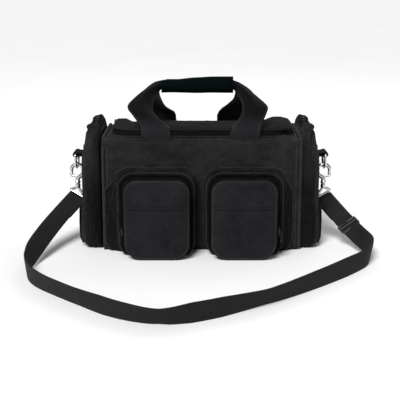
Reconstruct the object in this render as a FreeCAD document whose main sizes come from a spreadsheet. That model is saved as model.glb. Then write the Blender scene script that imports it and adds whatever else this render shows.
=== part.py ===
import FreeCAD, Part
import math
import os
import Sketcher

# Soft zipped flight bag: a padded main compartment under a U-shaped zipped lid, two zipped pockets on the
# front, a closed pocket on each end, two webbing handles joined by a wrap-around grip, and a shoulder strap
# on swivel snap hooks. Millimetres: X to the bag's right, Y to its back, Z up, origin under its middle.

DIMENSIONS = {
    # main compartment
    "outer_depth": 183, "body_length": 260, "pocket_depth": 50, "handle_reach": 4.5,
    "wall_height": 152, "skin": 1.5, "foam": 4, "lining_skin": 0.8, "board": 3, "board_gap": 2,
    "rim_thickness": 3, "mouth_inset_end": 18, "mouth_inset_side": 10, "mouth_radius": 25,
    "piping_width": 4,
    # lid
    "lid_half_length": 118, "lid_front_inset": 2, "lid_back_inset": 7, "lid_radius": 30,
    "tape_height": 4, "tape_skin": 1.6, "tape_gap": 0.2, "lid_skin": 3.5, "lid_foam_inset": 2.5,
    "hinge_strip_depth": 5.5, "hinge_strip_height": 3,
    # front pockets
    "pocket_root_inner": 5, "pocket_root_outer": 116, "pocket_root_height": 113,
    "pocket_face_inner": 14, "pocket_face_outer": 99, "pocket_face_height": 107,
    "pocket_radius": 17, "pocket_foot_radius": 20,
    "gusset_skin": 3, "pocket_tape_depth": 3, "flap_skin": 4, "flap_gap": 0.3, "flap_base": 3,
    "flap_piping": 3,
    # end pockets
    "end_gusset_depth": 22, "end_face_skin": 4, "end_pocket_height": 161, "end_pocket_inset": 4,
    "end_top_radius": 32, "end_base_radius": 8, "slit_half_width": 3, "slit_half_length": 29,
    "end_tape_half_width": 8, "end_tape_half_length": 31, "end_tape_skin": 1.2,
    "slip_height": 56, "slip_skin": 3, "slip_inset": 12,
    # zip sliders and pulls
    "slider_length": 10, "slider_width": 6, "slider_height": 3.2, "slider_gap": 0.3,
    "pull_length": 15, "pull_width": 5, "pull_skin": 1.4, "pull_lead": 0.5,
    "main_slider_setback": 26, "pocket_pull_height": 38, "rear_patch_foot": 18,
    # handles
    "webbing_width": 38, "webbing_skin": 3, "patch_skin": 1.5, "handle_x": 57,
    "grip_left": 54, "grip_right": 44, "grip_z": 216, "grip_height": 16, "grip_fold": 7,
    "grip_run_gap": 3, "wrap_skin": 3, "wrap_clearance": 0.5,
    # ring tabs, rings and hooks
    "ring_x": 173, "ring_z": 115, "ring_radius": 14.5, "ring_wire": 2, "ring_side": 6,
    "tab_width": 25, "tab_skin": 1.9, "tab_patch_height": 26,
    "hook_opening": 12, "hook_slack": 0.8, "hook_reach": 18, "hook_wire": 4.5, "hook_skin": 6, "hook_shank": 8,
    "collar_length": 5, "collar_radius": 4, "eye_width": 31, "eye_height": 12, "eye_wire": 3,
    "eye_turn": 40, "gate_skin": 3, "gate_gap": 0.4,
    # shoulder strap
    "strap_width": 25, "strap_skin": 2.4, "adjuster_length": 14, "adjuster_height": 5,
}

# The strap's centre line, from the left hook's eye round the front of the bag to the right hook's eye.
STRAP_ROUTE = [
    (-174, 19, 55), (-194, -12, 41), (-209, -56, 26), (-218, -108, 15), (-215, -152, 12.8),
    (-203, -180, 12.8), (-180, -206, 12.8), (-141, -246, 12.8), (-110, -275, 12.8), (-80, -295, 12.8),
    (-43, -308, 12.8), (-8, -301, 12.8), (24, -284, 12.8), (76, -247, 12.8), (137, -195, 12.8),
    (196, -137, 12.8), (219, -106, 12.8), (225, -72, 15), (213, -38, 21), (196, -8, 35),
    (175, 17, 55),
]

doc = FreeCAD.newDocument("flight_bag")
sheet = doc.addObject("Spreadsheet::Sheet", "dims")
for row, (alias, number) in enumerate(DIMENSIONS.items(), start=1):
    sheet.set(f"A{row}", alias)
    sheet.set(f"B{row}", str(number))
    sheet.setAlias(f"B{row}", alias)
doc.recompute()

nodes = []


class Dim:
    """A length with its value and the spreadsheet expression that it comes from."""

    def __init__(self, value, text):
        self.value = value
        self.text = text

    def __add__(self, other):
        other = as_dim(other)
        return Dim(self.value + other.value, f"({self.text} + {other.text})")

    def __sub__(self, other):
        other = as_dim(other)
        return Dim(self.value - other.value, f"({self.text} - {other.text})")

    def __rsub__(self, other):
        return as_dim(other) - self

    def __mul__(self, factor):
        return Dim(self.value * factor, f"({self.text} * {factor})")

    def __truediv__(self, divisor):
        return Dim(self.value / divisor, f"({self.text} / {divisor})")

    def __neg__(self):
        return Dim(-self.value, f"(0 - {self.text})")

    __radd__ = __add__
    __rmul__ = __mul__


def as_dim(number):
    return number if isinstance(number, Dim) else Dim(number, f"{number}")


def dim(alias):
    return Dim(float(DIMENSIONS[alias]), f"dims.{alias}")


def number(alias):
    return float(DIMENSIONS[alias])


def bind(item, path, length):
    item.setExpression(path, as_dim(length).text)


def place(item, x, y, z, turn=None):
    """Puts an object at a bound position, with an optional fixed (axis, degrees) turn."""
    rotation = FreeCAD.Rotation(FreeCAD.Vector(*turn[0]), turn[1]) if turn else FreeCAD.Rotation()
    base = FreeCAD.Vector(as_dim(x).value, as_dim(y).value, as_dim(z).value)
    item.Placement = FreeCAD.Placement(base, rotation)
    for axis, length in (("x", x), ("y", y), ("z", z)):
        bind(item, f".Placement.Base.{axis}", length)
    return item


def keep(item, label):
    item.Label = label
    nodes.append(item)
    return item


# ---- primitives -------------------------------------------------------------------------------------

def box(name, x, y, z):
    """A box between two bounds on each axis."""
    item = doc.addObject("Part::Box", name)
    for side, (low, high) in (("Length", x), ("Width", y), ("Height", z)):
        bind(item, side, as_dim(high) - as_dim(low))
    return place(item, x[0], y[0], z[0])


def cylinder(name, radius, length, x, y, z, turn=None):
    item = doc.addObject("Part::Cylinder", name)
    bind(item, "Radius", radius)
    bind(item, "Height", length)
    return place(item, x, y, z, turn)


def fuse(name, parts):
    item = doc.addObject("Part::MultiFuse", name)
    item.Shapes = parts
    return item


def cut(name, base, tool):
    item = doc.addObject("Part::Cut", name)
    item.Base = base
    item.Tool = tool
    return item


# ---- sketched plates --------------------------------------------------------------------------------

ROLES = {"XY": "XY_Plane", "XZ": "XZ_Plane", "YZ": "YZ_Plane"}


def new_sketch(body, name, plane, offset=None):
    sketch = body.newObject("Sketcher::SketchObject", name)
    role = ROLES[plane]
    sketch.AttachmentSupport = [(next(f for f in body.Origin.OriginFeatures if f.Role == role), "")]
    sketch.MapMode = "FlatFace"
    if offset is not None:
        bind(sketch, ".AttachmentOffset.Base.z", offset)
    return sketch


def pin(sketch, geometry, point, u, v):
    """Fixes one end of a line at bound coordinates."""
    for kind, length in (("DistanceX", u), ("DistanceY", v)):
        index = sketch.addConstraint(Sketcher.Constraint(kind, -1, 1, geometry, point, as_dim(length).value))
        bind(sketch, f"Constraints[{index}]", length)


def draw_loop(sketch, corners):
    """Draws a closed outline of lines with square or rounded right-angle corners (u, v, radius)."""
    count = len(corners)
    points = [(as_dim(u), as_dim(v), as_dim(r)) for u, v, r in corners]

    def heading(start, end):
        du = end[0].value - start[0].value
        dv = end[1].value - start[1].value
        size = math.hypot(du, dv)
        return round(du / size), round(dv / size)

    lines = []
    for i in range(count):
        start, end = points[i], points[(i + 1) % count]
        du, dv = heading(start, end)
        first = (start[0] + start[2] * du, start[1] + start[2] * dv) if start[2].value else start[:2]
        last = (end[0] - end[2] * du, end[1] - end[2] * dv) if end[2].value else end[:2]
        segment = Part.LineSegment(FreeCAD.Vector(first[0].value, first[1].value, 0),
                                   FreeCAD.Vector(last[0].value, last[1].value, 0))
        index = sketch.addGeometry(segment, False)
        pin(sketch, index, 1, *first)
        lines.append((index, (du, dv), last))
    for i in range(count):
        line, (du, dv), last = lines[i]
        following, (nu, nv), _ = lines[(i + 1) % count]
        radius = points[(i + 1) % count][2]
        if not radius.value:
            sketch.addConstraint(Sketcher.Constraint("Coincident", line, 2, following, 1))
            continue
        pin(sketch, line, 2, *last)
        centre = FreeCAD.Vector(last[0].value + nu * radius.value, last[1].value + nv * radius.value, 0)
        start_angle = math.atan2(-nv, -nu)
        end_angle = math.atan2(dv, du)
        left_turn = du * nv - dv * nu > 0
        circle = Part.Circle(centre, FreeCAD.Vector(0, 0, 1), radius.value)
        angles = (start_angle, end_angle) if left_turn else (end_angle, start_angle)
        arc = sketch.addGeometry(Part.ArcOfCircle(circle, *angles), False)
        tail, head = (1, 2) if left_turn else (2, 1)
        sketch.addConstraint(Sketcher.Constraint("Coincident", arc, tail, line, 2))
        sketch.addConstraint(Sketcher.Constraint("Coincident", arc, head, following, 1))
        index = sketch.addConstraint(Sketcher.Constraint("Radius", arc, radius.value))
        bind(sketch, f"Constraints[{index}]", radius)


def rectangle(u, v, radii):
    """Corners of a rectangle: radii at low-low, high-low, high-high and low-high."""
    return [(u[0], v[0], radii[0]), (u[1], v[0], radii[1]), (u[1], v[1], radii[2]), (u[0], v[1], radii[3])]


def plate(label, plane, loops, start, thickness):
    """A pad of one or more outlines, from `start` along the plane's positive row axis."""
    body = doc.addObject("PartDesign::Body", label + "_body")
    sketch = new_sketch(body, label + "_outline", plane)
    for loop in loops:
        draw_loop(sketch, loop)
    pad = body.newObject("PartDesign::Pad", label + "_pad")
    pad.Profile = sketch
    bind(pad, "Length", thickness)
    pad.Reversed = plane == "XZ"
    body.Tip = pad
    offsets = {"XY": (0, 0, start), "XZ": (0, start, 0), "YZ": (start, 0, 0)}
    return place(body, *offsets[plane])


# ---- main compartment -------------------------------------------------------------------------------

half = dim("body_length") / 2
front = dim("pocket_depth") - dim("outer_depth") / 2
back = dim("outer_depth") / 2 - dim("handle_reach")
middle = (front + back) / 2
skin = dim("skin")
top = dim("wall_height")
padding = skin + dim("foam")
rim_top = top + dim("rim_thickness")


def ring(u, v, outer_radii, inset, inner_radii):
    """Outer and inner outlines of a band of one width."""
    outer = rectangle(u, v, outer_radii)
    inner = rectangle((as_dim(u[0]) + inset, as_dim(u[1]) - inset),
                      (as_dim(v[0]) + inset, as_dim(v[1]) - inset), inner_radii)
    return [outer, inner]


def make_shell():
    keep(box("base_skin", (-half, half), (front, back), (0, skin)), "base_panel")
    keep(box("front_skin", (-half, half), (front, front + skin), (skin, top)), "front_panel")
    keep(box("back_skin", (-half, half), (back - skin, back), (skin, top)), "back_panel")
    for name, low, high in (("left", -half, -half + skin), ("right", half - skin, half)):
        wall = box(name + "_end_skin", (low, high), (front + skin, back - skin), (skin, top))
        keep(wall, name + "_end_panel")


def make_padding():
    foam_outline = ring((-half + skin, half - skin), (front + skin, back - skin),
                        (0, 0, 0, 0), dim("foam"), (0, 0, 0, 0))
    keep(plate("foam", "XY", foam_outline, skin, top - skin), "wall_foam")
    outside = box("lining_outside", (-half + padding, half - padding),
                  (front + padding, back - padding), (skin, top))
    inner = padding + dim("lining_skin")
    inside = box("lining_inside", (-half + inner, half - inner),
                 (front + inner, back - inner), (skin + dim("lining_skin"), top + skin))
    keep(cut("lining_shell", outside, inside), "lining")
    edge = inner + dim("board_gap")
    floor = skin + dim("lining_skin")
    keep(box("board", (-half + edge, half - edge), (front + edge, back - edge),
             (floor, floor + dim("board"))), "base_board")


def make_rim():
    outer = rectangle((-half, half), (front, back), (0, 0, 0, 0))
    end, side, radius = dim("mouth_inset_end"), dim("mouth_inset_side"), dim("mouth_radius")
    mouth = rectangle((-half + end, half - end), (front + side, back - side), (radius, radius, 0, 0))
    keep(plate("rim", "XY", [outer, mouth], top, dim("rim_thickness")), "top_rim")
    width = dim("piping_width")
    radii = (dim("end_base_radius"), dim("end_base_radius"), dim("mouth_radius"), dim("mouth_radius"))
    inner_radii = tuple(radius - width for radius in radii)
    band = ring((front, back), (0, rim_top), radii, width, inner_radii)
    pair = [plate(name + "_cord", "YZ", band, start, width)
            for name, start in (("left", -half - width), ("right", half))]
    keep(fuse("end_cords", pair), "end_pipings")


# ---- lid --------------------------------------------------------------------------------------------

lid_x = dim("lid_half_length")
lid_front = front + dim("lid_front_inset")
lid_back = back - dim("lid_back_inset")
lid_radius = dim("lid_radius")
zip_split = rim_top + dim("tape_height")
lid_under = zip_split + dim("tape_gap") + dim("tape_height")


def u_band(inset, width):
    """A U-shaped band open at the back: outline `inset` inside the lid's edge, of one width."""
    outer, inner = inset, inset + width
    return [
        (-lid_x + outer, lid_back, 0), (-lid_x + outer, lid_front + outer, lid_radius - outer),
        (lid_x - outer, lid_front + outer, lid_radius - outer), (lid_x - outer, lid_back, 0),
        (lid_x - inner, lid_back, 0), (lid_x - inner, lid_front + inner, lid_radius - inner),
        (-lid_x + inner, lid_front + inner, lid_radius - inner), (-lid_x + inner, lid_back, 0),
    ]


def make_lid():
    skin_outline = rectangle((-lid_x, lid_x), (lid_front, lid_back), (lid_radius, lid_radius, 0, 0))
    keep(plate("lid_skin_plate", "XY", [skin_outline], lid_under, dim("lid_skin")), "lid_panel")
    inset = dim("tape_skin") + dim("lid_foam_inset")
    radius = lid_radius - inset
    foam_outline = rectangle((-lid_x + inset, lid_x - inset), (lid_front + inset, lid_back - inset),
                             (radius, radius, 0, 0))
    foam_base = zip_split + dim("tape_gap")
    keep(plate("lid_foam_plate", "XY", [foam_outline], foam_base, dim("tape_height")), "lid_foam")
    tape = dim("tape_skin")
    keep(plate("tape_low", "XY", [u_band(as_dim(0), tape)], rim_top, dim("tape_height")),
         "main_zip_tape_body")
    keep(plate("tape_high", "XY", [u_band(as_dim(0), tape)], foam_base, dim("tape_height")),
         "main_zip_tape_lid")
    strip_start = lid_back + dim("flap_gap") * 2
    keep(box("strip", (-lid_x, lid_x), (strip_start, strip_start + dim("hinge_strip_depth")),
             (rim_top, rim_top + dim("hinge_strip_height"))), "lid_hinge_strip")


# ---- zip sliders and pulls --------------------------------------------------------------------------

def make_main_zip_hardware():
    gap, height = dim("slider_gap"), dim("slider_height")
    width, length = dim("slider_width"), dim("slider_length")
    low = zip_split + dim("tape_gap") / 2 - width / 2
    slider_y = lid_back - dim("main_slider_setback")
    pull_low = zip_split + dim("tape_gap") / 2 - dim("pull_width") / 2
    for name, side in (("left", -1), ("right", 1)):
        near, far = lid_x + gap, lid_x + gap + height
        x = (near, far) if side > 0 else (-far, -near)
        keep(box(name + "_main_runner", x, (slider_y, slider_y + length), (low, low + width)),
             name + "_main_slider")
        pull_near, pull_far = far + gap, far + gap + dim("pull_skin")
        x = (pull_near, pull_far) if side > 0 else (-pull_far, -pull_near)
        pin_y = slider_y + length / 2
        keep(box(name + "_main_tag", x, (pin_y - dim("pull_lead"), pin_y + dim("pull_length")),
                 (pull_low, pull_low + dim("pull_width"))), name + "_main_pull")


# ---- front pockets ----------------------------------------------------------------------------------

pocket_span = dim("pocket_depth") - dim("pocket_tape_depth") - dim("flap_gap") - dim("flap_skin")
tape_y = front - pocket_span
flap_back = tape_y - dim("pocket_tape_depth") - dim("flap_gap")
flap_front = flap_back - dim("flap_skin")


def loft_section(body, name, plane, offset, outline):
    sketch = new_sketch(body, name, plane, offset)
    draw_loop(sketch, outline)
    return sketch


def pocket_outline(side, inner, outer, height, inset, base=0):
    near, far = dim(inner) + inset, dim(outer) - inset
    u = (near, far) if side > 0 else (-far, -near)
    corner = dim("pocket_radius") - inset
    foot = dim("pocket_foot_radius") - inset
    return rectangle(u, (as_dim(base) + inset, dim(height) - inset), (foot, foot, corner, corner))


def make_front_pocket(name, side):
    body = doc.addObject("PartDesign::Body", name + "_gusset_body")
    loft = None
    for kind, tag, inset in (("AdditiveLoft", "outside", as_dim(0)),
                             ("SubtractiveLoft", "inside", dim("gusset_skin"))):
        wide = loft_section(body, f"{name}_{tag}_root", "XZ", as_dim(0),
                            pocket_outline(side, "pocket_root_inner", "pocket_root_outer",
                                           "pocket_root_height", inset))
        narrow = loft_section(body, f"{name}_{tag}_mouth", "XZ", pocket_span,
                              pocket_outline(side, "pocket_face_inner", "pocket_face_outer",
                                             "pocket_face_height", inset))
        loft = body.newObject("PartDesign::" + kind, f"{name}_{tag}_loft")
        loft.Profile = wide
        loft.Sections = [narrow]
        loft.Ruled = True
    body.Tip = loft
    keep(place(body, 0, front, 0), name + "_pocket_gusset")

    face = ("pocket_face_inner", "pocket_face_outer", "pocket_face_height")
    band = [pocket_outline(side, *face, as_dim(0)), pocket_outline(side, *face, dim("gusset_skin"))]
    keep(plate(name + "_band", "XZ", band, tape_y - dim("pocket_tape_depth"), dim("pocket_tape_depth")),
         name + "_pocket_zip_tape")
    base = dim("flap_base")
    cord = dim("flap_piping")
    panel = pocket_outline(side, *face, cord, base)
    keep(plate(name + "_flap_plate", "XZ", [panel], flap_front, dim("flap_skin")), name + "_pocket_flap")
    edge = [pocket_outline(side, *face, as_dim(0), base), pocket_outline(side, *face, cord, base)]
    keep(plate(name + "_flap_cord", "XZ", edge, flap_front, dim("flap_skin")), name + "_flap_piping")

    gap, height = dim("slider_gap"), dim("slider_height")
    taper = number("pocket_root_outer") - number("pocket_face_outer")
    stand_off = gap + taper / pocket_span.value * number("slider_width") / 2
    near = dim("pocket_face_outer") + stand_off
    far = near + height
    x = (near, far) if side > 0 else (-far, -near)
    centre = tape_y - dim("pocket_tape_depth") / 2
    half_width, length = dim("slider_width") / 2, dim("slider_length")
    low = dim("pocket_pull_height") - length / 2
    keep(box(name + "_pocket_runner", x, (centre - half_width, centre + half_width), (low, low + length)),
         name + "_pocket_slider")
    near, far = far + gap, far + gap + dim("pull_skin")
    x = (near, far) if side > 0 else (-far, -near)
    half_pull = dim("pull_width") / 2
    keep(box(name + "_pocket_tag", x, (centre - half_pull, centre + half_pull),
             (dim("pocket_pull_height") - dim("pull_length"), dim("pocket_pull_height") + dim("pull_lead"))),
         name + "_pocket_pull")


# ---- end pockets ------------------------------------------------------------------------------------

end_root = half + dim("piping_width")
end_mouth = end_root + dim("end_gusset_depth")
end_face = end_mouth + dim("end_face_skin")


def sided(side, near, far):
    """X bounds of something that stands `near` to `far` from the middle, on either side."""
    return (as_dim(near), as_dim(far)) if side > 0 else (-as_dim(far), -as_dim(near))


def end_outline(inset):
    low, high = front + dim("end_pocket_inset") + inset, back - dim("end_pocket_inset") - inset
    foot, crown = dim("end_base_radius") - inset, dim("end_top_radius") - inset
    return rectangle((low, high), (as_dim(0) + inset, dim("end_pocket_height") - inset),
                     (foot, foot, crown, crown))


def make_end_pocket(name, side):
    gusset_x = sided(side, end_root, end_mouth)
    tube = plate(name + "_tube", "YZ", [end_outline(as_dim(0)), end_outline(dim("gusset_skin"))],
                 gusset_x[0], dim("end_gusset_depth"))
    gusset_middle = (end_root + end_mouth) / 2
    slit_x = sided(side, gusset_middle - dim("slit_half_width"), gusset_middle + dim("slit_half_width"))
    crown = dim("end_pocket_height")
    slit = box(name + "_slit", slit_x, (middle - dim("slit_half_length"), middle + dim("slit_half_length")),
               (crown - dim("gusset_skin") * 2, crown + dim("gusset_skin")))
    keep(cut(name + "_slit_tube", tube, slit), name + "_end_gusset")
    tape_x = sided(side, gusset_middle - dim("end_tape_half_width"),
                   gusset_middle + dim("end_tape_half_width"))
    tape_top = crown + dim("end_tape_skin")
    tape_half = dim("end_tape_half_length")
    keep(box(name + "_end_band", tape_x, (middle - tape_half, middle + tape_half), (crown, tape_top)),
         name + "_end_zip_tape")
    face_x = sided(side, end_mouth, end_face)
    keep(plate(name + "_end_plate", "YZ", [end_outline(as_dim(0))], face_x[0], dim("end_face_skin")),
         name + "_end_face")

    gap, length = dim("slider_gap"), dim("slider_length")
    slider_x = sided(side, gusset_middle - dim("slider_width") / 2, gusset_middle + dim("slider_width") / 2)
    slider_base = tape_top + gap
    slider_top = slider_base + dim("slider_height")
    slider_end = middle + tape_half - length / 2
    keep(box(name + "_end_runner", slider_x, (slider_end - length, slider_end), (slider_base, slider_top)),
         name + "_end_slider")
    pull_x = sided(side, gusset_middle - dim("pull_width") / 2, gusset_middle + dim("pull_width") / 2)
    pin_y = slider_end - length / 2
    pull_base = slider_top + gap
    keep(box(name + "_end_tag", pull_x, (pin_y - dim("pull_lead"), pin_y + dim("pull_length")),
             (pull_base, pull_base + dim("pull_skin"))), name + "_end_pull")


def make_slip_pockets():
    inset = dim("end_pocket_inset") + dim("slip_inset")
    outline = rectangle((front + inset, back - inset), (dim("end_base_radius") / 2, dim("slip_height")),
                        (dim("end_base_radius"), dim("end_base_radius"), 0, 0))
    pair = [plate(name + "_slip", "YZ", [outline], start, dim("slip_skin"))
            for name, start in (("left", -end_face - dim("slip_skin")), ("right", end_face))]
    keep(fuse("slips", pair), "end_slip_pockets")


# ---- handles ----------------------------------------------------------------------------------------

def make_patches(label, y, low):
    reach = dim("webbing_width") / 2
    pair = [box(f"{label}_{name}", (centre - reach, centre + reach), y, (low, top - skin * 2))
            for name, centre in (("left", -dim("handle_x")), ("right", dim("handle_x")))]
    keep(fuse(label + "_pair", pair), label)


def leg(sections):
    """A webbing leg, lofted through sections given as outer edge, inner edge and thickness in Y."""
    wires = []
    for outer, inner, thickness in sections:
        shift = FreeCAD.Vector(0, thickness / 2, 0)
        outer, inner = FreeCAD.Vector(*outer), FreeCAD.Vector(*inner)
        wires.append(Part.makePolygon([outer - shift, inner - shift, inner + shift, outer + shift,
                                       outer - shift]))
    return Part.makeLoft(wires, True, True)


def handle_webbing(label, foot_y, run_y, bends, neck):
    """Two legs and the folded run between them. Bends are measured from the middle, the neck from the grip."""
    reach, leg_x = number("webbing_width") / 2, number("handle_x")
    foot_z, grip_z, rise = number("wall_height"), number("grip_z"), number("grip_height") / 2
    fold = number("grip_fold")
    shapes = []
    for side, grip_x in ((-1, number("grip_left")), (1, number("grip_right"))):
        sections = [((side * (leg_x + reach), foot_y, foot_z), (side * (leg_x - reach), foot_y, foot_z),
                     number("webbing_skin"))]
        near_grip = [[(edge[0] + grip_x, *edge[1:]) for edge in neck[:2]] + [neck[2]]]
        for outer, inner, thickness in bends + near_grip:
            sections.append(((side * outer[0], outer[1], outer[2]), (side * inner[0], inner[1], inner[2]),
                             thickness))
        sections.append(((side * grip_x, run_y, grip_z + rise), (side * grip_x, run_y, grip_z - rise), fold))
        shapes.append(leg(sections))
    run = Part.makeBox(number("grip_left") + number("grip_right"), fold, 2 * rise,
                       FreeCAD.Vector(-number("grip_left"), run_y - fold / 2, grip_z - rise))
    item = doc.addObject("Part::Feature", label + "_solid")
    item.Shape = run.fuse(shapes).removeSplitter()
    return keep(item, label)


def make_handles():
    clear = dim("pocket_root_height") + dim("flap_gap")
    make_patches("front_handle_patches", (front - dim("patch_skin"), front), clear)
    make_patches("rear_handle_patches", (back, back + dim("patch_skin")), dim("rear_patch_foot"))
    reach = number("webbing_skin") / 2
    front_foot = front.value - number("patch_skin") - reach + number("patch_skin") / 2
    rear_foot = back.value + number("handle_reach") - reach
    run_offset = (number("grip_fold") + number("grip_run_gap")) / 2
    front_bends = [((90, front_foot - 1, 178), (54, front_foot - 1, 181), 3),
                   ((88, front_foot + 14, 197), (56, front_foot + 16, 190), 4)]
    front_neck = ((21, middle.value - 16, 217), (8, middle.value - 14, 204), 6)
    rear_bends = [((76, rear_foot, 169), (38, rear_foot, 169), 3),
                  ((70, rear_foot - 34, 200), (36, rear_foot - 34, 190), 4)]
    rear_neck = ((16, middle.value + 16, 219), (4, middle.value + 14, 205), 6)
    handle_webbing("front_handle_webbing", front_foot, middle.value - run_offset, front_bends, front_neck)
    handle_webbing("rear_handle_webbing", rear_foot, middle.value + run_offset, rear_bends, rear_neck)

    space = dim("wrap_clearance")
    inner_y = dim("grip_fold") + dim("grip_run_gap") / 2 + space
    inner_z = dim("grip_height") / 2 + space
    wall = dim("wrap_skin")
    outline = [rectangle((middle - inner_y - wall, middle + inner_y + wall),
                         (dim("grip_z") - inner_z - wall, dim("grip_z") + inner_z + wall),
                         (dim("end_base_radius"),) * 4),
               rectangle((middle - inner_y, middle + inner_y),
                         (dim("grip_z") - inner_z, dim("grip_z") + inner_z), (0, 0, 0, 0))]
    keep(plate("wrap_tube", "YZ", outline, -dim("grip_left"), dim("grip_left") + dim("grip_right")),
         "grip_wrap")


# ---- D-rings, tabs and snap hooks -------------------------------------------------------------------

AXIS_TURN_Y = ((1, 0, 0), -90)
bar_z = dim("ring_z") + dim("ring_side")
contact_z = dim("ring_z") - dim("ring_radius")
hook_top = contact_z + dim("ring_wire") + dim("hook_slack")
opening_low = hook_top - dim("hook_reach")
shank_low = opening_low - dim("hook_shank")
collar_low = shank_low - dim("collar_length")


def make_ring(name, side):
    x = dim("ring_x") * side
    wire, radius = dim("ring_wire"), dim("ring_radius")
    arc = doc.addObject("Part::Torus", name + "_ring_arc")
    bind(arc, "Radius1", radius)
    bind(arc, "Radius2", wire)
    arc.Angle3 = 180
    place(arc, x, middle, dim("ring_z"), ((-1, -1, 1), 120))
    parts = [arc]
    for tag, y in (("front", middle - radius), ("rear", middle + radius)):
        parts.append(cylinder(f"{name}_ring_{tag}", wire, dim("ring_side"), x, y, dim("ring_z")))
        ball = doc.addObject("Part::Sphere", f"{name}_ring_{tag}_corner")
        bind(ball, "Radius", wire)
        parts.append(place(ball, x, y, bar_z))
    parts.append(cylinder(name + "_ring_bar", wire, radius * 2, x, middle - radius, bar_z, AXIS_TURN_Y))
    keep(fuse(name + "_ring_wire", parts), name + "_d_ring")

    half_tab = dim("tab_width") / 2
    across = (middle - half_tab, middle + half_tab)
    loop_radius = wire + dim("slider_gap") + dim("tab_skin")
    patch_low = bar_z - dim("tab_patch_height") / 2
    patch = box(name + "_tab_patch", sided(side, end_face, end_face + dim("tab_skin")), across,
                (patch_low, patch_low + dim("tab_patch_height")))
    arm = box(name + "_tab_arm", sided(side, end_face, dim("ring_x")), across,
              (bar_z - dim("tab_skin"), bar_z + dim("tab_skin")))
    loop = cylinder(name + "_tab_loop", loop_radius, dim("tab_width"), x, middle - half_tab, bar_z,
                    AXIS_TURN_Y)
    bore = cylinder(name + "_tab_bore", wire + dim("slider_gap"), dim("tab_width") * 2, x,
                    middle - dim("tab_width"), bar_z, AXIS_TURN_Y)
    keep(cut(name + "_tab", fuse(name + "_tab_parts", [patch, arm, loop]), bore), name + "_ring_tab")


def make_hook(name, side):
    """A swivel snap hook: hook over the ring's wire, sprung gate, and an eye for the strap."""
    x = dim("ring_x") * side
    wire, opening, thick = dim("hook_wire"), dim("hook_opening") / 2, dim("hook_skin")
    reach = opening + wire
    crown = hook_top + wire
    outline = rectangle((x - reach, x + reach), (opening_low - wire / 2, crown),
                        (dim("gate_skin"), dim("gate_skin"), reach - 2, reach - 2))
    body = plate(name + "_hook_plate", "XZ", [outline], middle - thick / 2, thick)
    gape = plate(name + "_hook_gape", "XZ",
                 [rectangle((x - opening, x + opening), (opening_low, hook_top),
                            (1, 1, opening - 1, opening - 1))],
                 middle - thick, thick * 2)
    window_low, window_high = opening_low + dim("gate_skin") / 2, hook_top - dim("ring_wire") * 2.5
    window_x = (x + opening - 1, x + reach + 1) if side > 0 else (x - reach - 1, x - opening + 1)
    window = box(name + "_hook_window", window_x, (middle - thick, middle + thick),
                 (window_low, window_high))
    shank = cylinder(name + "_hook_shank", dim("collar_radius"), dim("hook_shank"), x, middle, shank_low)
    keep(cut(name + "_hook_cut", fuse(name + "_hook_parts", [body, shank]),
             fuse(name + "_hook_holes", [gape, window])), name + "_hook")

    gap = dim("gate_gap")
    lever = (x + opening + gap, x + opening + gap + dim("gate_skin"))
    if side < 0:
        lever = (x - opening - gap - dim("gate_skin"), x - opening - gap)
    keep(box(name + "_gate_bar", lever, (middle - thick / 2 + gap, middle + thick / 2 - gap),
             (window_low + gap, window_high - gap)), name + "_hook_gate")

    half_eye, bar = dim("eye_width") / 2, dim("eye_wire")
    eye_top = shank_low - dim("slider_gap")
    eye_low = eye_top - dim("collar_length") - dim("eye_height")
    turn = ((0, 0, 1), -side * number("eye_turn"))
    frame = plate(name + "_eye_frame", "XZ",
                  [rectangle((-half_eye, half_eye), (eye_low, eye_low + dim("eye_height")), (2, 2, 2, 2)),
                   rectangle((-half_eye + bar, half_eye - bar), (eye_low + bar, eye_low + dim("eye_height")
                                                                - bar), (0, 0, 0, 0))],
                  -bar / 2, bar)
    collar = cylinder(name + "_eye_collar", dim("collar_radius"), dim("collar_length"), 0, 0,
                      eye_low + dim("eye_height"))
    eye = fuse(name + "_eye_parts", [frame, collar])
    place(eye, x, middle, 0, turn)
    keep(eye, name + "_hook_eye")


# ---- shoulder strap ---------------------------------------------------------------------------------

def strap_path(points):
    """Straight runs joined by tangent arcs, each as large as its two runs allow."""
    points = [FreeCAD.Vector(*point) for point in points]
    edges, start = [], points[0]
    for before, corner, after in zip(points, points[1:], points[2:]):
        back_run, next_run = before - corner, after - corner
        half_turn = (math.pi - back_run.getAngle(next_run)) / 2
        reach = 0.45 * min(back_run.Length, next_run.Length)
        radius = reach / math.tan(half_turn)
        first = corner + FreeCAD.Vector(back_run).normalize() * reach
        last = corner + FreeCAD.Vector(next_run).normalize() * reach
        bisector = (FreeCAD.Vector(back_run).normalize() + FreeCAD.Vector(next_run).normalize()).normalize()
        waist = corner + bisector * (radius / math.cos(half_turn) - radius)
        edges.append(Part.LineSegment(start, first).toShape())
        edges.append(Part.Arc(first, waist, last).toShape())
        start = last
        print(f"strap bend at {tuple(corner)}: turn {math.degrees(2 * half_turn):.0f}, radius {radius:.0f}")
    edges.append(Part.LineSegment(start, points[-1]).toShape())
    return Part.Wire(edges)


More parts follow.
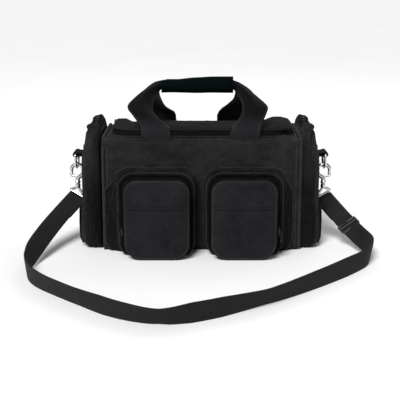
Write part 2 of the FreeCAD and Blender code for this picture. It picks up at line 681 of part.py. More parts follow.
def make_strap():
    path = strap_path(STRAP_ROUTE)
    along = (FreeCAD.Vector(*STRAP_ROUTE[1]) - FreeCAD.Vector(*STRAP_ROUTE[0])).normalize()
    upright = FreeCAD.Vector(0, 0, 1)
    sideways = along.cross(upright).normalize()
    half_width, half_skin = number("strap_width") / 2, number("strap_skin") / 2
    start = FreeCAD.Vector(*STRAP_ROUTE[0])
    corners = [start + upright * (a * half_width) + sideways * (b * half_skin)
               for a, b in ((1, 1), (1, -1), (-1, -1), (-1, 1), (1, 1))]
    sweep = Part.BRepOffsetAPI.MakePipeShell(path)
    sweep.setBiNormalMode(upright)
    sweep.add(Part.makePolygon(corners))
    sweep.build()
    sweep.makeSolid()
    item = doc.addObject("Part::Feature", "strap_sweep")
    item.Shape = sweep.shape()
    keep(item, "strap_webbing")
    section = number("strap_width") * number("strap_skin")
    print(f"strap length {path.Length:.1f}, volume ratio {item.Shape.Volume / (section * path.Length):.4f}")

    before, after = (FreeCAD.Vector(*STRAP_ROUTE[i]) for i in (-3, -2))
    heading = after - before
    adjuster = doc.addObject("Part::Box", "adjuster_frame")
    bind(adjuster, "Length", dim("adjuster_length"))
    bind(adjuster, "Width", dim("eye_width"))
    bind(adjuster, "Height", dim("adjuster_height"))
    turn = FreeCAD.Rotation(heading, FreeCAD.Vector(0, 0, 0), upright, "XZY")
    centre = (before + after) / 2
    offset = FreeCAD.Vector(number("adjuster_length") / 2, number("eye_width") / 2,
                            number("adjuster_height") / 2)
    adjuster.Placement = FreeCAD.Placement(centre - turn.multVec(offset), turn)
    keep(adjuster, "strap_adjuster")


make_shell()
make_padding()
make_rim()
make_lid()
make_main_zip_hardware()
for pocket_name, pocket_side in (("left", -1), ("right", 1)):
    make_front_pocket(pocket_name, pocket_side)
    make_end_pocket(pocket_name, pocket_side)
make_slip_pockets()
make_handles()
for hook_name, hook_side in (("left", -1), ("right", 1)):
    make_ring(hook_name, hook_side)
    make_hook(hook_name, hook_side)
make_strap()
doc.recompute()

for item in doc.Objects:
    if "Invalid" in item.State or "Error" in item.State:
        raise RuntimeError(f"{item.Name} failed: {item.State}")
os.makedirs("parts", exist_ok=True)
for node in nodes:
    if node.Shape.isNull() or not node.Shape.isValid() or not node.Shape.Solids:
        raise RuntimeError(f"{node.Label} has no valid solid")
    node.Shape.exportStep(f"parts/{node.Label}.step")
print(f"{len(nodes)} nodes written")
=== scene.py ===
"""Flight bag: the visible pieces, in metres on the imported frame. Helpers below take millimetres."""
import math

import bpy
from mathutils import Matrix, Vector, noise


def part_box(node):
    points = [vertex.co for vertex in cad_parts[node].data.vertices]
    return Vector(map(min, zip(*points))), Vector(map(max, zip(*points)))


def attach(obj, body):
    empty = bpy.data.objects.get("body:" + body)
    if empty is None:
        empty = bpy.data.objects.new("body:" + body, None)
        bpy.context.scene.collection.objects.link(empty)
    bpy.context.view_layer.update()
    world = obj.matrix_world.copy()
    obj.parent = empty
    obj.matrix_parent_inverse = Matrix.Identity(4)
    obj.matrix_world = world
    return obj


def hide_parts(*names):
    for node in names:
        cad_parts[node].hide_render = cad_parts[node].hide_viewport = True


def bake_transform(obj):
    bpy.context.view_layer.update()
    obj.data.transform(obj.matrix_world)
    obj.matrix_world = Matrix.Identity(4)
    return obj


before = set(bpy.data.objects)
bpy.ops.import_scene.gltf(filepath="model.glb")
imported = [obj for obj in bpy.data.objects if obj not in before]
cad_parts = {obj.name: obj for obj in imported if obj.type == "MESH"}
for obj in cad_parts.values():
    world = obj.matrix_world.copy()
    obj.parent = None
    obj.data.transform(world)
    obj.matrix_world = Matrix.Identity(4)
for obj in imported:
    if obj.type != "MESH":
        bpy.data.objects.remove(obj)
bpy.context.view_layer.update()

MM = 0.001
SIDES = (("left", -1), ("right", 1))
FIVE = (-1, -0.5, 0, 0.5, 1)


def node_box(node):
    """A CAD node's bounds in millimetres: (x0, y0, z0), (x1, y1, z1)."""
    low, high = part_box(node)
    return tuple(c / MM for c in low), tuple(c / MM for c in high)


# ---- levels taken from the CAD ----------------------------------------------------------------------

(_, FRONT, _), (HALF, _, WALL_TOP) = node_box("front_panel")
BACK = node_box("back_panel")[1][1]
MIDDLE = (FRONT + BACK) / 2
RIM_TOP = node_box("top_rim")[1][2]
(_, LID_FRONT, _), (LID_X, LID_BACK, _) = node_box("lid_panel")
ZIP_Z = (node_box("main_zip_tape_body")[1][2] + node_box("main_zip_tape_lid")[0][2]) / 2
MOUTH_RADIUS = 30

# ---- small maths ------------------------------------------------------------------------------------


def lerp(a, b, t):
    return a + (b - a) * t


def smooth(t):
    t = min(1.0, max(0.0, t))
    return t * t * (3 - 2 * t)


def bump(t):
    """0 at both ends of 0..1 and 1 in the middle."""
    return math.sin(math.pi * min(1.0, max(0.0, t)))


def spread(start, end, count):
    """count + 1 values in even steps from start to end."""
    return [lerp(start, end, k / count) for k in range(count + 1)]


def towards_centre(count):
    """Shares of the way out from a centre, stepping in from an edge and stopping just short of it."""
    return [1 - step / (count + 0.5) for step in range(1, count + 1)]


def full_turn(count):
    """count angles in even steps round a circle, in radians."""
    return [2 * math.pi * k / count for k in range(count)]


def ripple(x, y, z, size):
    """Smooth noise from -1 to 1 with features about `size` millimetres across."""
    return noise.noise(Vector((x, y, z)) / size)


def outline(u, v, radii, arc=10, side=24):
    """A closed rounded rectangle, anticlockwise from low-low: (u, v, outward u, outward v) each."""
    (u0, u1), (v0, v1) = u, v
    centres = [(u0 + radii[0], v0 + radii[0]), (u1 - radii[1], v0 + radii[1]),
               (u1 - radii[2], v1 - radii[2]), (u0 + radii[3], v1 - radii[3])]
    points = []
    for corner, (cu, cv) in enumerate(centres):
        radius = radii[corner]
        for step in range(arc + 1):
            angle = math.pi * (1 + corner / 2 + step / arc / 2)
            points.append((cu + radius * math.cos(angle), cv + radius * math.sin(angle),
                           math.cos(angle), math.sin(angle)))
        end_u, end_v, nu, nv = points[-1]
        nu, nv = round(nu), round(nv)
        next_u, next_v = centres[(corner + 1) % 4]
        next_u, next_v = next_u + nu * radii[(corner + 1) % 4], next_v + nv * radii[(corner + 1) % 4]
        for step in range(1, side):
            t = step / side
            points.append((lerp(end_u, next_u, t), lerp(end_v, next_v, t), nu, nv))
    return points


# ---- mesh building ----------------------------------------------------------------------------------


def running_lengths(points, closed):
    chain = list(points) + ([points[0]] if closed else [])
    total, lengths = 0.0, [0.0]
    for a, b in zip(chain, chain[1:]):
        total += (Vector(b) - Vector(a)).length
        lengths.append(total)
    return lengths


def filled_mesh(name, vertices, faces, uvs):
    mesh = bpy.data.meshes.new(name)
    mesh.from_pydata(vertices, [], faces)
    layer = mesh.uv_layers.new(name="metres")
    for loop, point in zip(layer.data, uvs):
        loop.uv = point
    return mesh


def shaded(mesh, sharp):
    """Smooth shading with edges sharper than an angle in degrees kept sharp."""
    mesh.shade_smooth()
    mesh.set_sharp_from_angle(angle=math.radians(sharp))
    return mesh


def grid_mesh(name, rows, closed=False, caps=(False, False), planar=None, sharp=40):
    """A mesh through rows of points in millimetres, with UVs in metres."""
    count = len(rows[0])
    vertices = [Vector(p) * MM for row in rows for p in row]
    middle_row = rows[len(rows) // 2]
    across = running_lengths(middle_row, closed)
    along = running_lengths([row[count // 3] for row in rows], False)
    faces, uvs = [], []

    def uv(i, j):
        if planar:
            point = rows[i][j % count]
            return (point[planar[0]] * MM, point[planar[1]] * MM)
        return (across[j] * MM, along[i] * MM)

    for i in range(len(rows) - 1):
        for j in range(count if closed else count - 1):
            k = (j + 1) % count
            faces.append((i * count + j, i * count + k, (i + 1) * count + k, (i + 1) * count + j))
            uvs += [uv(i, j), uv(i, j + 1), uv(i + 1, j + 1), uv(i + 1, j)]
    for cap, i in zip(caps, (0, len(rows) - 1)):
        if cap:
            order = range(count) if i else range(count - 1, -1, -1)
            faces.append(tuple(i * count + j for j in order))
            uvs += [uv(i, j) for j in order]
    return shaded(filled_mesh(name, vertices, faces, uvs), sharp)


def linked(name, data):
    """A new object in the scene."""
    thing = bpy.data.objects.new(name, data)
    bpy.context.scene.collection.objects.link(thing)
    return thing


def add_piece(name, mesh, body, material, replaces=()):
    piece = linked(name, mesh)
    mesh.materials.append(material)
    if body:
        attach(piece, body)
    if replaces:
        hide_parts(*replaces)
    return piece


def bake(piece):
    """Applies a piece's modifiers to its mesh."""
    graph = bpy.context.evaluated_depsgraph_get()
    graph.update()
    final = bpy.data.meshes.new_from_object(piece.evaluated_get(graph))
    piece.modifiers.clear()
    piece.data = final
    return piece


def thicken(piece, thickness, offset=-1.0):
    layer = piece.modifiers.new("thickness", "SOLIDIFY")
    layer.thickness = thickness * MM
    layer.offset = offset
    layer.use_even_offset = False
    return bake(piece)


def add_cloth(name, rows, body, slot, material, node, thickness, offset, **options):
    """A thickened piece through rows of points that stands for one CAD node."""
    piece = add_piece(name, grid_mesh(name, rows, **options), body, material, [node])
    return thicken(piece, thickness, offset)


def joined(name, meshes):
    """One mesh from several."""
    vertices, faces, uvs = [], [], []
    for mesh in meshes:
        base = len(vertices)
        vertices += [v.co.copy() for v in mesh.vertices]
        faces += [tuple(base + i for i in polygon.vertices) for polygon in mesh.polygons]
        uvs += [tuple(loop.uv) for loop in mesh.uv_layers[0].data]
    return shaded(filled_mesh(name, vertices, faces, uvs), 40)


def add_joined(name, meshes, body, material, replaces=()):
    return add_piece(name, joined(name, meshes), body, material, replaces)


def tube_mesh(name, path, radius, closed=False, sides=10, flatten=1.0):
    """A round cord along points in millimetres; radius is a number or a function of 0..1."""
    points = [Vector(p) for p in path]
    count = len(points)
    rows = []
    normal = None
    for i, point in enumerate(points):
        before = points[i - 1] if i or closed else point
        after = points[(i + 1) % count] if i < count - 1 or closed else point
        tangent = (after - before).normalized()
        if normal is None:
            seed = Vector((0, 0, 1)) if abs(tangent.z) < 0.9 else Vector((0, 1, 0))
            normal = (seed - tangent * seed.dot(tangent)).normalized()
        else:
            normal = (normal - tangent * normal.dot(tangent)).normalized()
        side = tangent.cross(normal)
        size = radius(i / max(1, count - 1)) if callable(radius) else radius
        rows.append([point + normal * (math.cos(a) * size) + side * (math.sin(a) * size * flatten)
                     for a in full_turn(sides)])
    if closed:
        rows.append(rows[0])
    return grid_mesh(name, rows, closed=True, caps=(not closed, not closed), sharp=60)


def stitch_mesh(name, path, outward, pitch=4.5, length=2.9, width=0.75, height=0.35):
    """Thread stitches along a path in millimetres; outward is the surface normal there."""
    points = [Vector(p) for p in path]
    normals = [Vector(n).normalized() for n in outward]
    lengths = running_lengths(points, False)
    vertices, faces, uvs = [], [], []
    segment = 0
    for number in range(int(lengths[-1] / pitch)):
        at = (number + 0.5) * pitch
        while lengths[segment + 1] < at:
            segment += 1
        share = (at - lengths[segment]) / max(1e-6, lengths[segment + 1] - lengths[segment])
        centre = points[segment].lerp(points[segment + 1], share)
        normal = normals[segment].lerp(normals[segment + 1], share).normalized()
        ahead = (points[segment + 1] - points[segment]).normalized()
        side = ahead.cross(normal)
        base = len(vertices)
        for u, w, h in ((-1, -0.6, 0), (1, -0.6, 0), (1, 0.6, 0), (-1, 0.6, 0),
                        (-0.6, 0, 1), (0.6, 0, 1)):
            vertices.append((centre + ahead * (u * length / 2) + side * (w * width)
                             + normal * (h * height)) * MM)
        for face in ((0, 1, 5, 4), (2, 3, 4, 5), (1, 2, 5), (3, 0, 4)):
            faces.append(tuple(base + i for i in face))
            uvs += [(vertices[base + i].x, vertices[base + i].z) for i in face]
    return filled_mesh(name, vertices, faces, uvs)


# ---- materials --------------------------------------------------------------------------------------


def node_tree(name, roughness, metallic=0.0, sheen=0.0, specular=0.5, sheen_roughness=0.5):
    material = bpy.data.materials.new(name)
    material.use_nodes = True
    tree = material.node_tree
    shader = tree.nodes["Principled BSDF"]
    shader.inputs["Roughness"].default_value = roughness
    shader.inputs["Metallic"].default_value = metallic
    shader.inputs["Specular IOR Level"].default_value = specular
    shader.inputs["Sheen Weight"].default_value = sheen
    shader.inputs["Sheen Roughness"].default_value = sheen_roughness
    return material, tree, shader


def link(tree, source, target):
    tree.links.new(source, target)


def tint(tree, factor, dark, light):
    """A colour between dark and light by a factor."""
    mix = tree.nodes.new("ShaderNodeMix")
    mix.data_type = "RGBA"
    link(tree, factor, mix.inputs[0])
    mix.inputs[6].default_value = (*dark, 1)
    mix.inputs[7].default_value = (*light, 1)
    return mix.outputs[2]


def wave(tree, vector, direction, pitch, distortion=0.0):
    """Ribs of one pitch in metres along an axis of the UV plane."""
    node = tree.nodes.new("ShaderNodeTexWave")
    node.bands_direction = direction
    node.wave_profile = "SIN"
    node.inputs["Scale"].default_value = 2 * math.pi / (20 * pitch)
    node.inputs["Distortion"].default_value = distortion
    node.inputs["Detail Scale"].default_value = 2.0
    link(tree, vector, node.inputs["Vector"])
    return node.outputs["Fac"]


def cloud(tree, vector, size, detail=3.0, rough=0.55):
    """Noise with features of one size in metres."""
    node = tree.nodes.new("ShaderNodeTexNoise")
    node.inputs["Scale"].default_value = 1 / size
    node.inputs["Detail"].default_value = detail
    node.inputs["Roughness"].default_value = rough
    link(tree, vector, node.inputs["Vector"])
    return node.outputs["Fac"]


def combine(tree, kind, a, b):
    node = tree.nodes.new("ShaderNodeMath")
    node.operation = kind
    for socket, value in zip(node.inputs, (a, b)):
        if isinstance(value, (int, float)):
            socket.default_value = value
        else:
            link(tree, value, socket)
    return node.outputs[0]


def times(tree, a, b):
    return combine(tree, "MULTIPLY", a, b)


def plus(tree, a, b):
    return combine(tree, "ADD", a, b)


def minus(tree, a, b):
    return combine(tree, "SUBTRACT", a, b)


def ramp(tree, factor, low, high, start=0.3, end=0.7):
    """Maps a factor from start..end to low..high."""
    node = tree.nodes.new("ShaderNodeMapRange")
    link(tree, factor, node.inputs["Value"])
    for label, value in (("From Min", start), ("From Max", end), ("To Min", low), ("To Max", high)):
        node.inputs[label].default_value = value
    return node.outputs[0]


def raise_bump(tree, shader, height, strength, distance, base=None):
    node = tree.nodes.new("ShaderNodeBump")
    node.inputs["Strength"].default_value = strength
    node.inputs["Distance"].default_value = distance
    link(tree, height, node.inputs["Height"])
    if base is not None:
        link(tree, base, node.inputs["Normal"])
    link(tree, node.outputs[0], shader.inputs["Normal"])
    return node.outputs[0]


def coordinates(tree):
    node = tree.nodes.new("ShaderNodeTexCoord")
    return node.outputs["UV"], node.outputs["Object"]


def darkened_by_height(tree, colour, place, levels, share):
    """The colour, darkened or lightened to a share of itself past a change between two heights in metres."""
    split = tree.nodes.new("ShaderNodeSeparateXYZ")
    link(tree, place, split.inputs[0])
    height = ramp(tree, split.outputs["Z"], 0, 1, *levels)
    scaled = tree.nodes.new("ShaderNodeVectorMath")
    scaled.operation = "SCALE"
    link(tree, colour, scaled.inputs[0])
    link(tree, ramp(tree, height, share, 1.0, 0, 1), scaled.inputs["Scale"])
    return scaled.outputs[0]


def worn_lines(tree, place, size, stretch, width=0.035):
    """Thin pale lines where cloth has been creased, longest along Z."""
    squeeze = tree.nodes.new("ShaderNodeVectorMath")
    squeeze.operation = "MULTIPLY"
    squeeze.inputs[1].default_value = (1, 1, stretch)
    link(tree, place, squeeze.inputs[0])
    middle = minus(tree, cloud(tree, squeeze.outputs[0], size, 2.0, 0.5), 0.5)
    return ramp(tree, combine(tree, "ABSOLUTE", middle, 0), 1, 0, 0.004, width)


def woven(name, dark, light, pitch=0.0011, roughness=0.82, relief=0.00035, sheen=0.03, crease=0.0022,
          worn=0.25, stretch=1.0, falloff=None, specular=0.05):
    """Plain weave cloth: crossed threads, soft creases and patchy wear."""
    material, tree, shader = node_tree(name, roughness, sheen=sheen, specular=specular)
    uv, place = coordinates(tree)
    warp = wave(tree, uv, "X", pitch, 0.6)
    weft = wave(tree, uv, "Y", pitch, 0.6)
    threads = combine(tree, "MAXIMUM", warp, weft)
    patches = cloud(tree, place, 0.03, 5.0, 0.65)
    fuzz = cloud(tree, place, 0.0016, 2.0)
    shade = plus(tree, times(tree, threads, 0.35),
                 plus(tree, times(tree, patches, 1.1), times(tree, fuzz, 0.25)))
    lines = worn_lines(tree, place, 0.022, stretch)
    worn_shade = plus(tree, ramp(tree, shade, 0, 1, 0.6, 1.1), times(tree, lines, worn))
    colour = tint(tree, worn_shade, dark, light)
    # Optional darkening by height: painted shade low down on the end pockets' gussets, and darker towards
    # the grip on the front handle webbing.
    if falloff:
        colour = darkened_by_height(tree, colour, place, *falloff)
    link(tree, colour, shader.inputs["Base Color"])
    link(tree, ramp(tree, patches, roughness - 0.08, min(1.0, roughness + 0.08)),
         shader.inputs["Roughness"])
    folds = combine(tree, "ABSOLUTE", minus(tree, cloud(tree, place, 0.026, 2.0, 0.5), 0.5), 0)
    creases = plus(tree, cloud(tree, place, 0.012, 3.0, 0.5), times(tree, folds, 2.6))
    creases = plus(tree, creases, times(tree, lines, worn * 0.4))
    soft = raise_bump(tree, shader, creases, 0.8, crease)
    raise_bump(tree, shader, threads, 0.6, relief, soft)
    return material


def ribbed(name, dark, light, rib=0.0018, cross=0.0011, roughness=0.7, relief=0.0005, sheen=0.02,
           falloff=None):
    """Webbing or tape: ribs along its length crossed by finer picks."""
    material, tree, shader = node_tree(name, roughness, sheen=sheen, specular=0.07)
    uv, place = coordinates(tree)
    length_ribs = wave(tree, uv, "X", rib)
    picks = wave(tree, uv, "Y", cross, 0.4)
    threads = plus(tree, times(tree, length_ribs, 0.6), times(tree, picks, 0.4))
    patches = cloud(tree, place, 0.02, 3.0)
    shade = plus(tree, times(tree, threads, 0.5), times(tree, patches, 0.6))
    colour = tint(tree, ramp(tree, shade, 0, 1, 0.2, 0.85), dark, light)
    # Optional darkening by height, used to make the front handle webbing darker towards the grip.
    if falloff:
        colour = darkened_by_height(tree, colour, place, *falloff)
    link(tree, colour, shader.inputs["Base Color"])
    link(tree, ramp(tree, patches, roughness - 0.1, roughness + 0.1), shader.inputs["Roughness"])
    raise_bump(tree, shader, threads, 0.7, relief)
    return material


def grained(name, dark, light, roughness, metallic=0.0, size=0.004, relief=0.00008, scratch=0.0):
    """Moulded plastic or metal with a fine grain and uneven polish."""
    material, tree, shader = node_tree(name, roughness, metallic)
    _, place = coordinates(tree)
    grain = cloud(tree, place, size, 5.0, 0.65)
    haze = cloud(tree, place, size * 5, 2.0)
    link(tree, tint(tree, ramp(tree, grain, 0, 1), dark, light), shader.inputs["Base Color"])
    spread = 0.08 + scratch
    link(tree, ramp(tree, haze, roughness - spread, roughness + spread), shader.inputs["Roughness"])
    raise_bump(tree, shader, grain, 0.4, relief)
    return material


def porous(name, dark, light, cell=0.003):
    """Closed-cell foam."""
    material, tree, shader = node_tree(name, 0.95)
    _, place = coordinates(tree)
    cells = tree.nodes.new("ShaderNodeTexVoronoi")
    cells.inputs["Scale"].default_value = 1 / cell
    link(tree, place, cells.inputs["Vector"])
    link(tree, tint(tree, cells.outputs["Distance"], dark, light), shader.inputs["Base Color"])
    raise_bump(tree, shader, cells.outputs["Distance"], 0.6, 0.0004)
    return material


SHELL = woven("shell_weave", (0.0070, 0.0068, 0.0078), (0.0215, 0.0208, 0.0226))
LID_CLOTH = woven("lid_weave", (0.0022, 0.0022, 0.0024), (0.0098, 0.0096, 0.0102))
FLAP_CLOTH = woven("flap_weave", (0.0056, 0.0055, 0.0070), (0.0165, 0.0160, 0.0185), crease=0.0018)
# Painted shade: the front pockets' sides use a darker copy of the shell weave, standing for the shade in the
# recesses round the pockets.
SHADED_GUSSET = woven("gusset_weave_painted_shade", (0.0005, 0.0012, 0.0017), (0.0050, 0.0058, 0.0066), crease=0.0034, worn=0.8,
               stretch=0.35, specular=0.04)
# Painted shade: the end pockets' gussets use a darker copy of the shell weave, darkening further between 125
# mm and 80 mm towards the bottom, where the bag's lower ends fall in shade.
SHADED_END_CLOTH = woven("end_weave_painted_shade", (0.0035, 0.0037, 0.0040), (0.0160, 0.0160, 0.0165), crease=0.0034, worn=0.7,
                  stretch=0.3, falloff=((0.080, 0.125), 0.42))
LINING = woven("lining_weave", (0.05, 0.05, 0.053), (0.085, 0.085, 0.09), 0.0008, 0.7, 0.0002, 0.1)
EDGE_CLOTH = woven("edge_weave", (0.009, 0.0092, 0.010), (0.025, 0.0250, 0.027), 0.0009, 0.7, 0.0002)
WRAP = woven("wrap_weave", (0.0005, 0.0019, 0.0024), (0.0015, 0.0040, 0.0047), 0.0007, 0.75, 0.00012, 0.0,
             0.0003, 0.1, specular=0.02)
# Painted highlight: the end cords' cloth is lighter than the shell, standing for the light along their
# rounded edges.
PIPING_HIGHLIGHT = woven("piping_weave_painted_highlight", (0.013, 0.013, 0.014), (0.030, 0.030, 0.031), 0.0009, 0.7, 0.0002)
WEBBING = ribbed("webbing_ribs", (0.0024, 0.0028, 0.0034), (0.0085, 0.0090, 0.0102))
# Darker above 186 mm, towards the grip.
HANDLE_WEBBING = ribbed("handle_webbing_ribs", (0.0072, 0.0072, 0.0084), (0.0215, 0.0210, 0.0240),
                        falloff=((0.186, 0.166), 0.17))
# Painted light: a lighter copy of the handle webbing for the rear legs, which lie in the shade of the front
# legs and the wrap.
LIT_REAR_WEBBING = ribbed("rear_webbing_painted_light", (0.0070, 0.0078, 0.0090), (0.0300, 0.0310, 0.0330))
STRAP_WEBBING = ribbed("strap_webbing_ribs", (0.0070, 0.0070, 0.0075), (0.0200, 0.0198, 0.0206))
TAPE = ribbed("zip_tape_ribs", (0.0012, 0.0012, 0.0014), (0.0038, 0.0038, 0.0042), 0.0009, 0.0009, 0.85,
              0.0002, 0.0)
COIL = ribbed("zip_coil", (0.002, 0.002, 0.0022), (0.009, 0.009, 0.0095), 0.0022, 0.0013, 0.5, 0.0009)
# Painted highlight: a pale webbing for the rolled inner edges of the handle legs, standing for the light
# they catch.
EDGE_HIGHLIGHT = ribbed("webbing_edge_painted_highlight", (0.020, 0.020, 0.021), (0.055, 0.055, 0.057), 0.0018, 0.0011, 0.6)
# Painted shade: a dark thread for the lid and flap seams, standing for the shadow in their grooves.
SHADED_SEAM = ribbed("seam_thread_painted_shade", (0.006, 0.006, 0.007), (0.016, 0.016, 0.017), 0.0008, 0.0008, 0.7)
THREAD = ribbed("thread_twist", (0.020, 0.020, 0.022), (0.042, 0.042, 0.045), 0.0008, 0.0008, 0.6)
PLASTIC = grained("black_moulding", (0.012, 0.012, 0.012), (0.022, 0.022, 0.022), 0.45)
LACQUER = grained("black_lacquer", (0.006, 0.006, 0.007), (0.018, 0.018, 0.019), 0.42, 0.2)
NICKEL = grained("satin_nickel", (0.66, 0.65, 0.63), (0.82, 0.81, 0.79), 0.26, 1.0, 0.006, 0.00005, 0.05)
BOARD = grained("stiff_board", (0.02, 0.02, 0.02), (0.035, 0.035, 0.035), 0.7)
FOAM = porous("closed_cell", (0.05, 0.05, 0.055), (0.11, 0.11, 0.12))

# ---- floor, light and camera ------------------------------------------------------------------------


def make_stage():
    rows = []
    reach = (-40000, -6000, -1500, 0, 1500, 6000, 40000)
    for y in reach:
        rows.append([(x, y, 0) for x in reach])
    mesh = grid_mesh("floor", rows)
    floor = linked("floor", mesh)
    material, tree, shader = node_tree("pale_floor", 0.6)
    _, place = coordinates(tree)
    shade = ramp(tree, cloud(tree, place, 0.4, 2.0), 0, 1)
    link(tree, tint(tree, shade, (0.93, 0.93, 0.93), (0.95, 0.95, 0.95)), shader.inputs["Base Color"])
    mesh.materials.append(material)


def add_light(name, place, target, size, power):
    data = bpy.data.lights.new(name, "AREA")
    data.shape = "RECTANGLE"
    data.size, data.size_y = size
    data.energy = power
    lamp = linked(name, data)
    lamp.location = place
    lamp.rotation_euler = (Vector(target) - Vector(place)).to_track_quat("-Z", "Y").to_euler()


def add_sun(name, direction, strength, spread):
    """A large soft key light that shines from `direction`."""
    data = bpy.data.lights.new(name, "SUN")
    data.energy = strength
    data.angle = math.radians(spread)
    lamp = linked(name, data)
    lamp.rotation_euler = Vector(direction).to_track_quat("Z", "Y").to_euler()


CAMERA_PLACE = (0.0, -1.175, 0.3576)
CAMERA_TILT = 0.24883
LENS_MM = 78.5
FRAME_SHIFT = -0.00125


def make_camera():
    data = bpy.data.cameras.new("camera")
    data.sensor_width = 36.0
    data.lens = LENS_MM
    data.shift_x = FRAME_SHIFT
    data.clip_end = 50
    camera = linked("camera", data)
    camera.location = CAMERA_PLACE
    camera.rotation_euler = (math.pi / 2 - CAMERA_TILT, 0, 0)
    bpy.context.scene.camera = camera


world = bpy.data.worlds.new("studio")
world.use_nodes = True
SKY_STRENGTH = 0.3
background = world.node_tree.nodes["Background"]
background.inputs[0].default_value = (1.0, 1.0, 1.0, 1)
background.inputs[1].default_value = SKY_STRENGTH
bpy.context.scene.world = world
bpy.context.scene.view_settings.view_transform = "Standard"
make_stage()
make_camera()
add_sun("key", (-0.30, -0.80, 0.95), 3.3, 24)
add_light("rim", (0.5, 1.2, 1.5), (0, 0.1, 0.12), (1.6, 0.8), 6)

# ---- shoulder strap ---------------------------------------------------------------------------------

# The strap's route in metres, from the left hook's eye round the front to the right hook's eye, and at
# each point how far the webbing leans in from upright, in degrees. Negative leans its top out: far at
# the ramps and, by less and unevenly, along the front, where its lower edge lies on the floor.
STRAP = [
    ((-0.174, 0.019, 0.0600), -62), ((-0.194, -0.012, 0.0410), -58),
    ((-0.209, -0.056, 0.0260), -46), ((-0.218, -0.108, 0.0150), -18),
    ((-0.216, -0.153, 0.0128), -5), ((-0.205, -0.182, 0.0127), -9),
    ((-0.184, -0.210, 0.0124), -17), ((-0.144, -0.250, 0.0123), -19),
    ((-0.112, -0.279, 0.0125), -13), ((-0.081, -0.301, 0.0122), -20),
    ((-0.043, -0.316, 0.0115), -32), ((-0.007, -0.304, 0.0126), -9),
    ((0.026, -0.287, 0.0126), -10), ((0.080, -0.252, 0.0119), -27),
    ((0.139, -0.198, 0.0126), -11), ((0.196, -0.137, 0.0128), 0),
    ((0.219, -0.106, 0.0128), -4), ((0.225, -0.072, 0.0150), -14),
    ((0.213, -0.038, 0.0210), -36), ((0.196, -0.008, 0.0350), -54),
    ((0.175, 0.017, 0.0580), -62),
]
STRAP_WIDTH = 25.0
STRAP_SKIN = 2.4


def strap_line():
    """Points read from the route's smooth curve, in metres."""
    data = bpy.data.curves.new("strap_route", "CURVE")
    data.dimensions = "3D"
    data.resolution_u = 10
    spline = data.splines.new("NURBS")
    spline.points.add(len(STRAP) - 1)
    for point, (place, _) in zip(spline.points, STRAP):
        point.co = (*place, 1)
    spline.order_u = 3
    spline.use_endpoint_u = True
    route = linked("strap_route", data)
    bpy.context.view_layer.update()
    mesh = bpy.data.meshes.new_from_object(route.evaluated_get(bpy.context.evaluated_depsgraph_get()))
    points = [v.co.copy() for v in mesh.vertices]
    bpy.data.objects.remove(route)
    bpy.data.meshes.remove(mesh)
    if (points[0] - Vector(STRAP[0][0])).length > (points[-1] - Vector(STRAP[0][0])).length:
        points.reverse()
    return points


def strap_frames(points):
    """At each point: (point in millimetres, tangent, inward edge direction, face direction)."""
    frames = []
    last = len(points) - 1
    for i, point in enumerate(points):
        tangent = (points[min(i + 1, last)] - points[max(i - 1, 0)]).normalized()
        share = i / last * (len(STRAP) - 1)
        index = min(int(share), len(STRAP) - 2)
        lean = math.radians(lerp(STRAP[index][1], STRAP[index + 1][1], share - index))
        inward = Vector((0, 0, 1)).cross(tangent).normalized()
        upward = tangent.cross(inward)
        edge = inward * math.sin(lean) + upward * math.cos(lean)
        frames.append((point / MM, tangent, edge, edge.cross(tangent)))
    return frames


def ribbon_rows(frames):
    """Rows round a webbing's section at each frame: flat faces, eased edges."""
    rows = []
    steps = 7
    eased_edge = 0.55
    for point, _, edge, face in frames:
        row = []
        for sign in (1, -1):
            for step in range(steps):
                share = (step / (steps - 1) * 2 - 1) * sign
                depth = STRAP_SKIN / 2 * (eased_edge if step in (0, steps - 1) else 1.0)
                row.append(point + edge * (share * STRAP_WIDTH / 2) + face * (depth * sign))
        rows.append(row)
    return rows


def ribbon_mesh(name, rows):
    """A closed webbing mesh with UVs that run across and along it."""
    return grid_mesh(name, rows, closed=True, caps=(True, True), sharp=50)


strap_points = strap_line()
strap_frame = strap_frames(strap_points)
strap = add_piece("strap_ribbon", ribbon_mesh("strap_ribbon", ribbon_rows(strap_frame)),
                  "strap", STRAP_WEBBING, ["strap_webbing"])


def make_strap_end(name, side):
    """The strap's folded and sewn end: a loop over the eye's bar and a tail stitched to the back."""
    frames = strap_frame[::-side]
    lengths = running_lengths([f[0] for f in frames], False)
    tail_from, tail_to, tail_gap, loop_radius = 1.5, 36, 3.8, 1.9
    tail = [f for f, at in zip(frames, lengths) if tail_from <= at <= tail_to]
    point, tangent, edge, face = frames[0]
    heading = tangent * side
    loop = []
    for k in range(7):
        angle = math.pi * k / 6
        lift = face * -(loop_radius - loop_radius * math.cos(angle))
        loop.append((point + heading * (3.2 * math.sin(angle) + 0.6) + lift, tangent, edge,
                     (face * math.cos(angle) + heading * math.sin(angle)).normalized()))
    behind = [(p - f * tail_gap * (1 - 0.35 * smooth(i / 6)), t, e, -f)
              for i, (p, t, e, f) in enumerate(tail)]
    mesh = ribbon_mesh(name + "_strap_loop", ribbon_rows(loop + behind))
    piece = add_piece(name + "_strap_loop", mesh, "strap", STRAP_WEBBING)
    marks = []
    bar_half, bar_lift = 11, 1.25
    for at in (10, 12.5, 31, 33.5):
        point, _, edge, face = next(f for f, length in zip(frames, lengths) if length >= at)
        across = [point + edge * (w * bar_half) + face * bar_lift for w in FIVE]
        marks.append(stitch_mesh("bar", across, [face] * len(FIVE), 2.4, 2.2, 0.8, 0.45))
    return piece, add_joined(name + "_strap_stitches", marks, "strap", THREAD)


loops = [make_strap_end(name, side) for name, side in SIDES]


